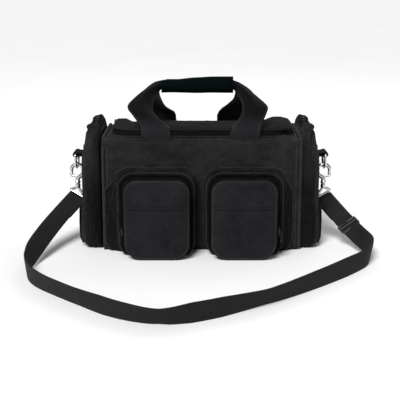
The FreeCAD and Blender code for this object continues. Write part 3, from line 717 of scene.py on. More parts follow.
def make_adjuster():
    """A three-bar slide, moulded in black, that the strap passes through."""
    low, high = node_box("strap_adjuster")
    centre = (Vector(low) + Vector(high)) / 2
    point, tangent, edge, face = min(strap_frame, key=lambda f: (f[0] - centre).length)
    half_long, half_wide = 7.0, 14.2
    corners = [(-1, -1), (1, -1), (1, 1), (-1, 1)]
    path = []
    for (a, b), (c, d) in zip(corners, corners[1:] + corners[:1]):
        for k in range(8):
            t = k / 8
            path.append((lerp(a, c, t), lerp(b, d, t)))
    frame_path = [point + tangent * (a * half_long * 0.86) + edge * (b * half_wide * 0.93)
                  + face * (0.6 * abs(b)) for a, b in path]
    bar = [point + edge * (s * half_wide * 0.9) + face * 2.2 for s in FIVE]
    meshes = [tube_mesh("slide_frame", frame_path, 1.4, closed=True), tube_mesh("slide_bar", bar, 1.1)]
    return add_joined("strap_slide", meshes, "strap", PLASTIC, ["strap_adjuster"])


slide = make_adjuster()

# ---- rings, hooks and eyes --------------------------------------------------------------------------


def make_ring(name):
    """A D-ring of round wire: straight bar at the top, round bow below."""
    low, high = node_box(name + "_d_ring")
    x = (low[0] + high[0]) / 2
    wire = (high[0] - low[0]) / 2
    radius = (high[1] - low[1]) / 2 - wire
    top, centre_z = high[2] - wire, low[2] + wire + radius
    path = [(x, MIDDLE + radius * math.cos(a), centre_z - radius * math.sin(a))
            for a in (math.pi * k / 24 for k in range(25))]
    path += [(x, MIDDLE - radius, lerp(centre_z, top - 1.6, t)) for t in (0.4, 0.8, 1)]
    path += [(x, MIDDLE - radius * t, top) for t in (0.9, 0.5, 0, -0.5, -0.9)]
    path += [(x, MIDDLE + radius, lerp(top - 1.6, centre_z, t)) for t in (0, 0.4)]
    mesh = tube_mesh(name + "_ring", path, wire * 0.96, closed=True, sides=14)
    add_piece(name + "_ring", mesh, "bag", NICKEL, [name + "_d_ring"])


def make_hook(name, side):
    """A swivel snap hook: bent nose, sprung lever gate, collar and a three-sided eye for the strap."""
    low, high = node_box(name + "_hook")
    x = (low[0] + high[0]) / 2
    crown, base = high[2], low[2]
    reach = (high[0] - low[0]) / 2
    wire = 2.7
    mid = reach - 2.3
    gate_low, gate_high = node_box(name + "_hook_gate")
    nose_z = gate_high[2] + 1.2
    path = [(x, MIDDLE, base + 3), (x, MIDDLE, base + 6.5), (x - side * 2, MIDDLE, base + 9.5),
            (x - side * mid * 0.75, MIDDLE, base + 12), (x - side * mid, MIDDLE, base + 15.5)]
    shoulder = crown - wire - mid
    path += [(x - side * mid, MIDDLE, lerp(base + 15.5, shoulder, t)) for t in (0.35, 0.7, 1)]
    path += [(x - side * mid * math.cos(a), MIDDLE, shoulder + mid * math.sin(a))
             for a in (math.pi * k / 14 for k in range(1, 15))]
    path += [(x + side * mid, MIDDLE, lerp(shoulder, nose_z, t)) for t in (0.5, 1)]
    nose = tube_mesh("nose", path, lambda t: wire * (1.2 - 0.25 * smooth(t * 3) + 0.1 * bump(t) ** 3),
                     sides=14)
    collar = tube_mesh("collar", [(x, MIDDLE, base + h) for h in (0, 0.6, 1.5, 3.2, 4.2, 5.0)],
                       lambda t: 3.9 - 1.1 * abs(2 * t - 1) ** 3, sides=18)
    arm = tube_mesh("arm", [(x + side * mid * s, MIDDLE, base + 10.2 + 1.5 * s) for s in
                            (0, 0.3, 0.6, 0.85)], lambda t: 1.9 - 0.3 * t, sides=12)
    add_joined(name + "_snap_hook", [nose, collar, arm],
               name + "_hook_body", NICKEL, [name + "_hook"])

    gate_x = (gate_low[0] + gate_high[0]) / 2
    lever = tube_mesh("lever", [(gate_x, MIDDLE, lerp(gate_low[2], gate_high[2], t))
                                for t in (0, 0.06, 0.25, 0.5, 0.75, 0.94, 1)],
                      lambda t: 1.45 - 0.5 * abs(2 * t - 1) ** 6, sides=12, flatten=1.5)
    thumb = tube_mesh("thumb", [(gate_x + side * (0.6 + 1.8 * bump(t)), MIDDLE,
                                 lerp(gate_low[2] + 1.5, gate_low[2] + 6, t))
                                for t in (0, 0.25, 0.5, 0.75, 1)], lambda t: 0.6 + 0.5 * bump(t), sides=10)
    add_joined(name + "_snap_gate", [lever, thumb], name + "_gate_body",
               NICKEL, [name + "_hook_gate"])

    eye_low, eye_high = node_box(name + "_hook_eye")
    top, floor_z = eye_high[2], eye_low[2]
    end = 0 if side < 0 else -1
    edge = strap_frame[end][2]
    bar_centre = Vector((x, MIDDLE, floor_z + 1.7))
    apex = Vector((x, MIDDLE, top - 4.4))
    half_bar = 13.8
    ends = [bar_centre + edge * half_bar, bar_centre - edge * half_bar]
    corners = [apex, ends[0], ends[1]]
    path = []
    for k in range(3):
        a, b = corners[k], corners[(k + 1) % 3]
        ease = 0.1
        for t in (ease, 0.3, 0.5, 0.7, 1 - ease):
            path.append(a.lerp(b, t))
    triangle = tube_mesh("triangle", path, 2.0, closed=True, sides=12)
    barrel = tube_mesh("barrel", [(x, MIDDLE, lerp(top - 5.4, top, t)) for t in
                                  (0, 0.1, 0.3, 0.7, 0.9, 1)],
                       lambda t: 3.8 - 1.0 * abs(2 * t - 1) ** 4, sides=18)
    return add_joined(name + "_strap_eye", [triangle, barrel], "strap",
                      NICKEL, [name + "_hook_eye"])


def make_tab(name, side):
    """The webbing tab that holds a ring: a patch on the end pocket and a loop round the bar."""
    low, high = node_box(name + "_ring_tab")
    ring_low, ring_high = node_box(name + "_d_ring")
    x = (ring_low[0] + ring_high[0]) / 2 * side
    bar_z = ring_high[2] - 2
    wall = (low[0] if side > 0 else -high[0]) + 1.0
    radius, skin, half_wide = 3.2, 1.8, 12.5
    path = [(wall, high[2]), (wall + 0.1, bar_z + 8), (wall + 0.6, bar_z + 4), (wall + 3, bar_z + 1.8),
            (x - 4, bar_z + 1.7)]
    path += [(x + radius * math.cos(a), bar_z + radius * math.sin(a))
             for a in (math.radians(d) for d in range(130, -140, -22))]
    path += [(x - 4, bar_z - 1.7), (wall + 3, bar_z - 1.8), (wall + 0.6, bar_z - 4), (wall + 0.1, bar_z - 8),
             (wall, low[2])]
    rows = [[(px * side, y, pz) for px, pz in path]
            for y in spread(MIDDLE - half_wide, MIDDLE + half_wide, 8)]
    mesh = grid_mesh(name + "_tab", [list(r) for r in zip(*rows)], sharp=60)
    tab = add_piece(name + "_tab", mesh, "bag", WEBBING, [name + "_ring_tab"])
    thicken(tab, skin, 0.0)
    seams = []
    for z in (low[2] + 3, bar_z - 9, bar_z + 9, high[2] - 3):
        line = [(side * (wall + 1.0), y, z) for y in (MIDDLE - 10, MIDDLE, MIDDLE + 10)]
        seams.append(stitch_mesh("seam", line, [(side, 0, 0)] * 3, 3.0))
    add_joined(name + "_tab_stitches", seams, "bag", THREAD)


for side_name, side_sign in SIDES:
    make_ring(side_name)
    make_hook(side_name, side_sign)
    make_tab(side_name, side_sign)


# ---- main compartment -------------------------------------------------------------------------------


def edge_distance(u, v, box, radii):
    """How far a point is inside a rounded rectangle's edge."""
    (u0, u1), (v0, v1) = box
    cu, cv = (u0 + u1) / 2, (v0 + v1) / 2
    corner = (0 if u < cu else 1) if v < cv else (3 if u < cu else 2)
    radius = radii[corner]
    qu, qv = abs(u - cu) - (u1 - u0) / 2 + radius, abs(v - cv) - (v1 - v0) / 2 + radius
    return radius - math.hypot(max(qu, 0), max(qv, 0)) - min(max(qu, qv), 0)


def scan_width(v, box, radii):
    """The rounded rectangle's two edges at height v."""
    (u0, u1), (v0, v1) = box
    edges = []
    for low_corner, high_corner in ((0, 3), (1, 2)):
        radius, gap = (radii[low_corner], v - v0) if v < (v0 + v1) / 2 else (radii[high_corner], v1 - v)
        inset = radius - math.sqrt(max(0.0, radius * radius - max(0.0, radius - gap) ** 2))
        edges.append(inset)
    return u0 + edges[0], u1 - edges[1]


def eased(count):
    """0..1 in steps that crowd towards both ends."""
    return [0.5 - 0.5 * math.cos(math.pi * k / count) for k in range(count + 1)]


FRONT_FOLDS = 3.0
BACK_FOLDS = 57.0


def wall_relief(x, z, seed):
    """Slack cloth on a foam wall: long soft folds, more of them high up."""
    falloff = smooth(z / 25) * smooth((WALL_TOP + 4 - z) / 12) * smooth((HALF - 4 - abs(x)) / 8)
    folds = 1.7 * ripple(x * 0.8 + seed, z * 0.9, seed, 24)
    ridges = 1.5 * (0.45 - abs(ripple(x * 0.7 + z * 0.5, z * 1.3 - x * 0.2, seed + 4, 17)))
    small = 0.6 * ripple(x * 1.3, z * 1.1 + seed, seed, 8)
    return (folds + ridges + small + 0.9) * falloff


def sag(x, y):
    """How far the unloaded bag's top sinks towards the back, most at its left end."""
    depth = 5.5 + 2.0 * smooth((-x - 60) / 30) - 2.0 * smooth((x - 70) / 30)
    by_the_zip = smooth((abs(x) - 94) / 14)
    return depth * lerp(smooth((y - 20) / 60), smooth((y - 70) / 22), by_the_zip)


def rim_round(x):
    """How far the rim's outer edge is rounded off: more where the lid's corners leave it."""
    return lerp(1.6, 8.0, smooth((abs(x) - 88) / 26))


def rim_drop(x):
    """How far the rim's end shelves slope down to the end piping."""
    return 3.2 * smooth((abs(x) - 106) / 22)


def make_walls():
    columns = spread(-HALF - 1, HALF + 1, 110)
    heights = spread(0.6, RIM_TOP + 0.3, 64)
    for name, level, sign, seed in (("front", FRONT, -1, FRONT_FOLDS), ("back", BACK, 1, BACK_FOLDS)):
        rows = []
        for z in heights:
            row = []
            for x in columns:
                radius, sunk = rim_round(x), rim_drop(x) + sag(x, level)
                top = RIM_TOP + 0.3 - sunk
                height = z - smooth((z - 0.4 * top) / (0.6 * RIM_TOP)) * sunk
                over = min(1.0, max(0.0, (height - top + radius) / radius))
                tuck = radius * (1 - math.sqrt(1 - over * over)) + 1.2 * smooth((3 - z) / 3)
                row.append((x, level + sign * (wall_relief(x, z, seed) - tuck - 0.2), height))
            rows.append(row)
        add_cloth(name + "_wall", rows, "bag", "shell_fabric", SHELL, name + "_panel", 1.2, -sign)
    for name, side in SIDES:
        depths = spread(FRONT + 1.6, BACK - 1.6, 30)
        rows = [[(side * (HALF - 0.7 + 0.3 * ripple(y, z, side, 30)), y, z) for y in depths]
                for z in heights[:-2]]
        add_cloth(name + "_wall", rows, "bag", "shell_fabric", SHELL, name + "_end_panel", 1.2, 0)
    rows = []
    for y in spread(FRONT + 0.4, BACK - 0.4, 24):
        rows.append([(x, y, 0.45 + 0.35 * abs(ripple(x, y, 4, 40)) * smooth((HALF - abs(x)) / 20))
                     for x in columns[1:-1]])
    add_cloth("base_cover", rows, "bag", "shell_fabric", SHELL, "base_panel", 0.8, 1)


def ring_row(points, offset, level):
    """A flat outline moved outward, at a height that is a number or a function of x and y."""
    return [(u + nu * offset, v + nv * offset, level(u, v) if callable(level) else level)
            for u, v, nu, nv in points]


def ring_rows(sections):
    """Rows from (flat outline, outward offset, height) sections."""
    return [ring_row(*section) for section in sections]


def make_pipings():
    """Two covered cords round each end of the body, proud of the walls."""
    meshes = []
    for side in (-1, 1):
        shift = 1.4 if side > 0 else -2.3
        for x, proud, radius in ((HALF + 1.5 + shift, 0.9, 2.4), (HALF - 4.2 + shift, 0.7, 2.0)):
            crown = RIM_TOP - 2.2 + proud
            points = outline((FRONT - proud, BACK + proud), (radius + 0.2, crown), (7, 7, 20, 20))
            path = [(side * (x + 0.4 * ripple(y, z, x, 20)), y,
                     z - sag(side * x, y) * smooth((z - 110) / 50)) for y, z, _, _ in points]
            meshes.append(tube_mesh("cord", path, radius, closed=True, sides=12))
    # Painted highlight: the cords use the lighter piping cloth.
    add_joined("end_cords", meshes, "bag", PIPING_HIGHLIGHT, ["end_pipings"])


def zip_z(x, y):
    """The zip's height: level at the front, sinking with the bag's top towards the hinge."""
    return ZIP_Z - sag(x, y)


def from_zip(rise):
    """A height for ring_row, measured from the zip's."""
    return lambda x, y: zip_z(x, y) + rise


def near_hinge(y):
    """0 over most of the lid, rising to 1 over the last stretch before the hinge."""
    return smooth((y - 50) / 30)


def overhang(u, v):
    """How far the lid's padding hangs out over the zip at its right end."""
    return 6.0 * smooth((u - 70) / 40) * smooth((66 - v) / 26)


def thinned(y):
    """The share of the lid's edge that is left towards the hinge, where it thins out."""
    return 1 - 0.8 * near_hinge(y)


ARC_STEPS = 12
SIDE_STEPS = 40


def lid_outline(back_radius):
    radii = (MOUTH_RADIUS, MOUTH_RADIUS, back_radius, back_radius)
    return outline((-LID_X, LID_X), (LID_FRONT, LID_BACK), radii, ARC_STEPS, SIDE_STEPS)


LID_OUTLINE = lid_outline(1)
PAD_OUTLINE = lid_outline(5)
# The zip runs up the left side, round the front and up the right side, and is open along the back.
U_LINE = LID_OUTLINE[1 - SIDE_STEPS:] + LID_OUTLINE[:2 * (ARC_STEPS + 1) + 2 * (SIDE_STEPS - 1)]


def make_rim():
    end_shelf, long_shelf = 18, 10
    outer = outline((-HALF - 1, HALF + 1), (FRONT + 0.6, BACK - 0.6), (2, 2, 2, 2), ARC_STEPS, SIDE_STEPS)
    mouth = outline((end_shelf - HALF, HALF - end_shelf), (FRONT + long_shelf, BACK - long_shelf),
                    (24, 24, 2, 2), ARC_STEPS, SIDE_STEPS)
    shelf = [(u, min(BACK - rim_round(u), max(FRONT + rim_round(u), v)), nu, nv) for u, v, nu, nv in outer]
    sections = [(shelf, 0, lambda x, y: RIM_TOP - 1.4 - rim_drop(x) - sag(x, y)),
                (shelf, -0.8, lambda x, y: RIM_TOP - 0.1 - rim_drop(x) - sag(x, y)),
                (LID_OUTLINE, 3.4, lambda x, y: RIM_TOP + 0.5 - sag(x, y) - 0.4 * rim_drop(x)),
                (LID_OUTLINE, 1.0, from_zip(-2.4)), (LID_OUTLINE, 0.2, from_zip(-2.6)),
                (LID_OUTLINE, -0.8, from_zip(-4.6)), (mouth, 0, from_zip(-5.4)),
                (mouth, -0.8, from_zip(-6.2)), (mouth, 0, lambda x, y: WALL_TOP - sag(x, y))]
    rows = ring_rows(sections)
    fine = []
    for a, b in zip(rows, rows[1:]):
        fine += [[tuple(Vector(p).lerp(Vector(q), t)) for p, q in zip(a, b)] for t in (0, 0.5)]
    fine.append(rows[-1])
    add_cloth("rim_cover", fine, "bag", "shell_fabric", SHELL, "top_rim", 0.8, -1, closed=True)


def make_inside():
    """The lining's tub, the foam behind the walls, and the stiff base board."""
    (x0, y0, z0), (x1, y1, z1) = node_box("lining")
    rows = []
    for share in eased(22):
        z = lerp(z1 - 0.4, z0 + 1.2, share)
        radius = lerp(3, 9, share)
        points = outline((x0 + 0.4, x1 - 0.4), (y0 + 0.4, y1 - 0.4), (radius,) * 4, 6, 30)
        rows.append([(u - nu * (0.8 + 0.9 * ripple(u, v, z, 24)), v - nv * (0.8 + 0.9 * ripple(u, v, z, 24)),
                      z) for u, v, nu, nv in points])
    last = rows[-1]
    for share in (0.96, 0.85, 0.6, 0.3, 0.02):
        rows.append([(x * share, lerp(MIDDLE, y, share), z0 + 1.0) for x, y, _ in last])
    add_cloth("tub_lining", rows, "bag", "lining_fabric", LINING, "lining", 0.5, 0, closed=True)
    (x0, y0, z0), (x1, y1, z1) = node_box("wall_foam")
    outer = outline((x0 + 0.4, x1 - 0.4), (y0 + 0.4, y1 - 0.4), (3,) * 4, 4, 30)
    sections = [(outer, -3.0, z0), (outer, -0.3, z0), (outer, 0, z0 + 1)]
    sections += [(outer, -0.2, lerp(z0, z1, k / 10)) for k in range(1, 10)]
    sections += [(outer, -0.4, z1 - 0.6), (outer, -2.8, z1 - 0.6)]
    sections += [(outer, -3.1, lerp(z1, z0, k / 10)) for k in range(1, 10)] + [(outer, -3.0, z0)]
    add_piece("foam_band", grid_mesh("foam_band", ring_rows(sections), closed=True), "bag",
              FOAM, ["wall_foam"])
    (x0, y0, z0), (x1, y1, z1) = node_box("base_board")
    board = outline((x0, x1), (y0, y1), (6,) * 4, 6, 12)
    sections = [(board, -1.0, z0), (board, 0, z0 + 0.6), (board, 0, z1 - 0.6), (board, -0.6, z1)]
    mesh = grid_mesh("stiff_base", ring_rows(sections), closed=True, caps=(True, True))
    add_piece("stiff_base", mesh, "bag", BOARD, ["base_board"])


# ---- lid --------------------------------------------------------------------------------------------


def lid_height(x, y):
    """The lid's upper surface: crowned over its foam, sagging in the middle and falling to the hinge."""
    right_end = smooth((x - 78) / 26)
    left_end = smooth((-x - 74) / 22)
    fall = smooth((y - lerp(8, 40, right_end)) / 62) * 8.0
    level = 165.4 + 2.2 * right_end - 4.2 * left_end - fall - 0.6 * sag(x, y)
    folds = 1.0 * ripple(x, y, 7, 22) + 1.2 * (0.4 - abs(ripple(x * 0.6, y * 1.4, 3, 15)))
    return max(level + folds + 0.4 * ripple(x, y, 1, 9), zip_z(x, y) + 5.0 - 3.4 * near_hinge(y))


def make_lid():
    centre = (0.0, lerp(LID_FRONT, LID_BACK, 0.5))
    rows = []
    for drop, offset, share in ((3.2, -1.6, 0), (3.1, 0.1, 0), (3.9, 0.8, 0.75), (5.0, 1.0, 1.0)):
        rows.append([(u + nu * offset + share * overhang(u, v), v + nv * offset,
                      zip_z(u, v) + drop * thinned(v)) for u, v, nu, nv in LID_OUTLINE])
    for inset, sink in ((0.4, 1.3), (1.6, 0.5), (3.2, 0.1), (5.2, 0.1), (6.2, 0.9), (7.0, 1.1),
                        (7.8, 0.4), (9.5, -0.2)):
        row = []
        for u, v, nu, nv in LID_OUTLINE:
            u, v = u - nu * inset + overhang(u, v), v - nv * inset
            row.append((u, v, max(lid_height(u, v) - sink, zip_z(u, v) + 5.0 - 4.2 * near_hinge(v))))
        rows.append(row)
    edge = rows[-1]
    for step, share in enumerate(towards_centre(18), 1):
        row = []
        for x, y, _ in edge:
            x, y = lerp(centre[0], x, share), lerp(centre[1], y, share)
            row.append((x, y, lid_height(x, y) + 0.2 + 0.8 * smooth(step / 5)))
        rows.append(row)
    piece = add_cloth("lid_cover", rows, "lid", "shell_fabric", LID_CLOTH, "lid_panel", 0.7, -1,
                      closed=True, caps=(False, True), planar=(0, 1), sharp=55)
    paths = []
    for inset in (4.4, 9.2):
        line = [(u - nu * inset + overhang(u, v), v - nv * inset) for u, v, nu, nv in U_LINE]
        path = [(x, y, lid_height(x, y) + (0.1 if inset > 5 else -0.05)) for x, y in line]
        paths.append(stitch_mesh("lid_seam", path, [(0, 0, 1)] * len(path)))
    # Painted shade: the lid's stitches use the dark seam thread.
    add_joined("lid_stitches", paths, "lid", SHADED_SEAM)

    rows = []
    for offset, level in ((-2.0, 1.2), (-2.6, 3.0), (-4.5, 3.4)):
        rows.append(ring_row(PAD_OUTLINE, offset, lambda x, y: zip_z(x, y) + level * thinned(y)))
    edge = rows[-1]
    for share in towards_centre(14):
        row = []
        for x, y, _ in edge:
            x, y = x * share, lerp(centre[1], y, share)
            level = 3.2 * thinned(y) + 0.5 * ripple(x, y, 2, 20)
            row.append((x, y, min(lid_height(x, y) - 2.0, zip_z(x, y) + level)))
        rows.append(row)
    add_cloth("lid_pad", rows, "lid", "lining_fabric", LINING, "lid_foam", 1.0, 1, closed=True,
              caps=(False, True), planar=(0, 1), sharp=85)


def u_strip(name, body, offset, low, high, node):
    """One side of the main zip: a tape along the U and its coil."""
    rows = [ring_row(U_LINE, offset, from_zip(level)) for level in spread(low, high, 4)]
    add_cloth(name, rows, body, "zip_tape", TAPE, node, 0.7, 0)
    level = high + 0.1 if high < 0 else low - 0.1
    coil = tube_mesh(name + "_coil", ring_row(U_LINE, offset + 0.5, from_zip(level)), 0.85, sides=8)
    add_piece(name + "_coil", coil, body, COIL)


def make_main_zip():
    u_strip("zip_tape_lower", "bag", -0.3, -4.0, -0.9, "main_zip_tape_body")
    u_strip("zip_tape_upper", "lid", -0.3, 0.9, 3.6, "main_zip_tape_lid")
    (x0, y0, z0), (x1, y1, z1) = node_box("lid_hinge_strip")
    rows = []
    for x in spread(x0, x1, 60):
        ease = 0.5 * ripple(x, 3, 1, 18) - sag(x, y1)
        rows.append([(x, y0 - 6.5, z1 - 0.3 + ease), (x, y0 - 3.0, z1 + 0.2 + ease),
                     (x, y0 + 0.8, z1 + 0.3 + ease),
                     (x, lerp(y0, y1, 0.55), z1 - 0.1 + ease), (x, y1 - 0.6, z1 - 1.3 + ease),
                     (x, y1 + 0.3, z0 + 0.4 + ease), (x, y1 + 0.2, z0 - 2 + ease)])
    strip = add_cloth("hinge_fold", rows, None, "shell_fabric", SHELL, "lid_hinge_strip", 0.8, 0)
    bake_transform(strip)


make_walls()
make_pipings()
make_rim()
make_inside()
make_lid()
make_main_zip()

# ---- end pockets ------------------------------------------------------------------------------------


PRESSED_AT = (17, 57)
PRESSED_REACH = (15, 11)
COVER_DENT = 3.8
SLIP_DENT = 4.8
SLIP_DROOP = 6.0


def pressed(y, z, depth):
    """How far an end pocket's cloth gives where the hook's eye and the strap's sewn end lie on it."""
    across, up = ((at - centre) / reach for at, centre, reach in zip((y, z), PRESSED_AT, PRESSED_REACH))
    return depth * math.exp(-across ** 2 - up ** 2)


def make_end_pocket(name, side):
    low, high = node_box(name + "_end_gusset")
    face_low, face_high = node_box(name + "_end_face")
    root, mouth = sorted((abs(low[0]), abs(high[0])))
    face = max(abs(face_low[0]), abs(face_high[0]))
    crown = high[2]
    shape = outline((low[1], high[1]), (0.5, crown), (9, 9, 32, 32), 12, 26)

    def edge_radius(u, v):
        return 7 + 7 * smooth((v - 104) / 44) * smooth((abs(u - MIDDLE) - 38) / 14)

    def foot(v):
        return 5.0 * (1 - smooth(v / 15))

    def puffed(u, v, nv, t):
        flat = smooth((nv - 0.6) / 0.3) * smooth((34 - abs(u - MIDDLE)) / 8)
        amount = 4.6 * bump(t) * smooth((v - 2) / 14) * (1 - flat)
        crumple = 1.4 * ripple(u * 0.6, v * 0.45, 50 * t + side, 12)
        fold = (crumple + 1.3 * (0.4 - abs(ripple(u, v * 0.5, 30 * t, 18)))) * bump(t) ** 0.6 * (1 - flat)
        tuck = 2.2 * (1 - smooth(t / 0.16)) * (1 - smooth(-nv * 2))
        hood = smooth(nv * 1.4) * ((crown - RIM_TOP - 2) * (1 - smooth(t / 0.3))
                                   - 5.6 * (1 - flat) * smooth(t / 0.35))
        return max(-0.6, amount + fold) - tuck - hood

    rows = []
    for t in spread(0, 1, 14):
        row = []
        for u, v, nu, nv in shape:
            x = lerp(root - 0.6, mouth + 4 - edge_radius(u, v) + 2.6 * smooth((84 - v) / 50) - foot(v), t)
            out = puffed(u, v, nv, t)
            row.append((side * x, u + nu * out, max(0.3, v + nv * out)))
        rows.append(row)
    # Painted shade: the end gusset is in the darker end weave, darker still low down.
    add_cloth(name + "_gusset", rows, "bag", "shell_fabric", SHADED_END_CLOTH, name + "_end_gusset", 1.0, -side,
              closed=True)

    face_centre_z, seam_inset = 78, 8.5

    def face_x(v, share):
        low_bulge = 6.4 * smooth((84 - v) / 50)
        top_lean = 4.6 * smooth((v - 118) / 40)
        return face - 0.4 + low_bulge * (1 - 0.6 * share ** 3) - top_lean - foot(v)

    rows = []
    for angle in (0, 18, 36, 54, 72, 90):
        reach, inset = 1 - math.sin(math.radians(angle)), 1 - math.cos(math.radians(angle))
        rows.append([(side * (face_x(v, 1) - edge_radius(u, v) * reach), u - nu * edge_radius(u, v) * inset,
                      max(0.3, v - nv * edge_radius(u, v) * inset)) for u, v, nu, nv in shape])
    edge = rows[-1]
    for share in towards_centre(16):
        row = []
        for x, y, z in edge:
            y, z = lerp(MIDDLE, y, share), lerp(face_centre_z, z, share)
            ease = 0.8 * ripple(y, z, side * 9, 26) * (1 - share ** 4) * smooth(abs(z - 121) / 26 - 0.4)
            row.append((side * (face_x(z, share) + ease - pressed(y, z, COVER_DENT)), y, z))
        rows.append(row)
    cover = add_cloth(name + "_end_cover", rows, "bag", "shell_fabric", SHELL, name + "_end_face", 0.8,
                      -side, closed=True, caps=(False, True), planar=(1, 2), sharp=60)
    seam = [(side * (face_x(v, 1) - 0.3), u - nu * seam_inset, v - nv * seam_inset)
            for u, v, nu, nv in shape if v > 12]
    stitches = stitch_mesh(name + "_end_stitches", seam, [(side, 0, 0)] * len(seam))
    add_piece(name + "_end_stitches", stitches, "bag", THREAD)

    tape_low, tape_high = node_box(name + "_end_zip_tape")
    rows = []
    for y in spread(tape_low[1], tape_high[1], 20):
        lift = tape_high[2] - 0.5 + 0.15 * ripple(y, 0, side, 12)
        rows.append([(lerp(tape_low[0], tape_high[0], s), y, lift + 0.35 * bump(s)) for s in eased(8)])
    add_cloth(name + "_end_tape", rows, "bag", "zip_tape", TAPE, name + "_end_zip_tape", 0.8, 0)
    x = (tape_low[0] + tape_high[0]) / 2
    path = [(x, y, tape_high[2]) for y in spread(tape_low[1] + 1, tape_high[1] - 1, 30)]
    coil = tube_mesh(name + "_end_coil", path, 1.3, sides=8)
    add_piece(name + "_end_coil", coil, "bag", COIL)

    slip_margin, hem_depth = 12, 9
    slip_y = (low[1] + slip_margin, high[1] - slip_margin)
    slip_top = node_box("end_slip_pockets")[1][2]
    rows = []
    for k in range(19):
        z = lerp(4.5, slip_top, k / 18)
        row = []
        for s in eased(26):
            y = lerp(slip_y[0], slip_y[1], s)
            out = face_x(z, 0.8) + 0.8 + 2.2 * bump(s) ** 0.5 * smooth(k / 6) + 0.4 * ripple(y, z, side, 16)
            out += 0.5 * smooth(z - slip_top + hem_depth) - pressed(y, z, SLIP_DENT)
            row.append((side * out, y, z - pressed(y, PRESSED_AT[1], SLIP_DROOP) * (k / 18) ** 4))
        rows.append(row)
    add_cloth(name + "_slip", rows, "bag", "shell_fabric", SHELL, "end_slip_pockets", 1.2, 0,
              planar=(1, 2))
    hem = []
    for k in range(1, 20):
        y, z = lerp(*slip_y, k / 20), slip_top - 10
        hem.append((side * (face_x(slip_top - hem_depth, 0.8) + 3.4 - pressed(y, z, SLIP_DENT)), y, z))
    hem_mesh = stitch_mesh(name + "_slip_stitches", hem, [(side, 0, 0)] * len(hem))
    add_piece(name + "_slip_stitches", hem_mesh, "bag", THREAD)


# ---- front pockets ----------------------------------------------------------------------------------

POCKET_ROOT = (5, 116, 113)
POCKET_MOUTH = (14, 99, 107)
SEAM_Z = (68.6, 72.1)


def pocket_outline(side, t, base=0.0):
    """The pocket's outline from the wall (0) to its mouth (1)."""
    inner, outer, height = (lerp(a, b, t) for a, b in zip(POCKET_ROOT, POCKET_MOUTH))
    u = (inner, outer) if side > 0 else (-outer, -inner)
    foot, crown = lerp(18, 22, t), lerp(20, 18, t)
    return outline(u, (base, height), (foot, foot, crown, crown), 10, 28)


def pocket_row(points, y, offset, lowest):
    """An outline at depth y, moved outward by a number or a function of each point, kept off the floor."""
    row = []
    for u, v, nu, nv in points:
        out = offset(u, v, nu, nv) if callable(offset) else offset
        row.append((u + nu * out, y, max(lowest, v + nv * out)))
    return row


def make_front_pocket(name, side):
    """The pocket's pleated side, its edges, and its zip's tape and two coils."""
    (_, mouth_y, _), (_, root_y, _) = node_box(name + "_pocket_gusset")
    ridge = 0.55

    def gusset_offset(u, v, nu, nv, t):
        outer_side = smooth(nu * side)
        # The flare is the pocket's side spreading onto the wall low down; on the right it is also widened so
        # the painted-shade gusset weave covers the shaded wall beside the pocket.
        flare = (13.5 if side < 0 else 9.0) * outer_side * (1 - smooth(t / 0.42)) * smooth((98 - v) / 16)
        swell = 1.8 * bump(t / ridge) * (1 - smooth(-nv * 2))
        crumple = ripple(u * 0.7, v * 0.5 + side * 20, t * 40, 11)
        fold = (1.5 * crumple + 1.2 * (0.4 - abs(ripple(u, v * 0.6, t * 26, 16)))) * bump(t / ridge) ** 0.6
        return flare + swell + fold

    rows = []
    for k in range(15):
        t = ridge * k / 14
        y = lerp(root_y + 0.5, mouth_y, t)
        rows.append(pocket_row(pocket_outline(side, t), y, lambda *p: gusset_offset(*p, t), 0.4))
    for offset, t in ((1.9, ridge + 0.015), (2.2, ridge + 0.04), (1.5, ridge + 0.065), (0.0, ridge + 0.07),
                      (-1.6, ridge + 0.07)):
        y = lerp(root_y, mouth_y, t)
        rows.append(pocket_row(pocket_outline(side, t), y, offset, 0.4))
    # Painted shade: the pocket's side is in the darker gusset weave.
    add_cloth(name + "_pocket_side", rows, "bag", "shell_fabric", SHADED_GUSSET, name + "_pocket_gusset", 0.9, -1,
              closed=True, sharp=60)

    edges = []
    for t, offset, radius in ((ridge + 0.035, 2.3, 1.0), (0.10, 0.9, 1.3)):
        y = lerp(root_y, mouth_y, t)
        on_gusset = t < ridge
        points = pocket_row(pocket_outline(side, t), y,
                            lambda *p: gusset_offset(*p, min(t, ridge)) * on_gusset + offset, 1.2)
        edges.append(tube_mesh("edge", points, radius, closed=True, sides=8))
    add_joined(name + "_pocket_edges", edges, "bag", EDGE_CLOTH)

    rows = []
    for k in range(9):
        t = lerp(ridge + 0.03, 1.045, k / 8)
        y = lerp(root_y, mouth_y, t)
        sink = -1.9 + 1.3 * smooth((k - 5) / 3)
        rows.append(pocket_row(pocket_outline(side, t), y, sink, 0.5))
    add_cloth(name + "_pocket_tape", rows, "bag", "zip_tape", TAPE, name + "_pocket_zip_tape", 0.8, -1,
              closed=True)
    coil_y = mouth_y - 1.4
    for label, y in (("inner", coil_y + 0.9), ("outer", coil_y - 0.9)):
        path = pocket_row(pocket_outline(side, 1.0), y, -0.5, 1.4)
        add_piece(f"{name}_pocket_coil_{label}",
                  tube_mesh("coil", path, 0.9, closed=True, sides=8), "bag", COIL)


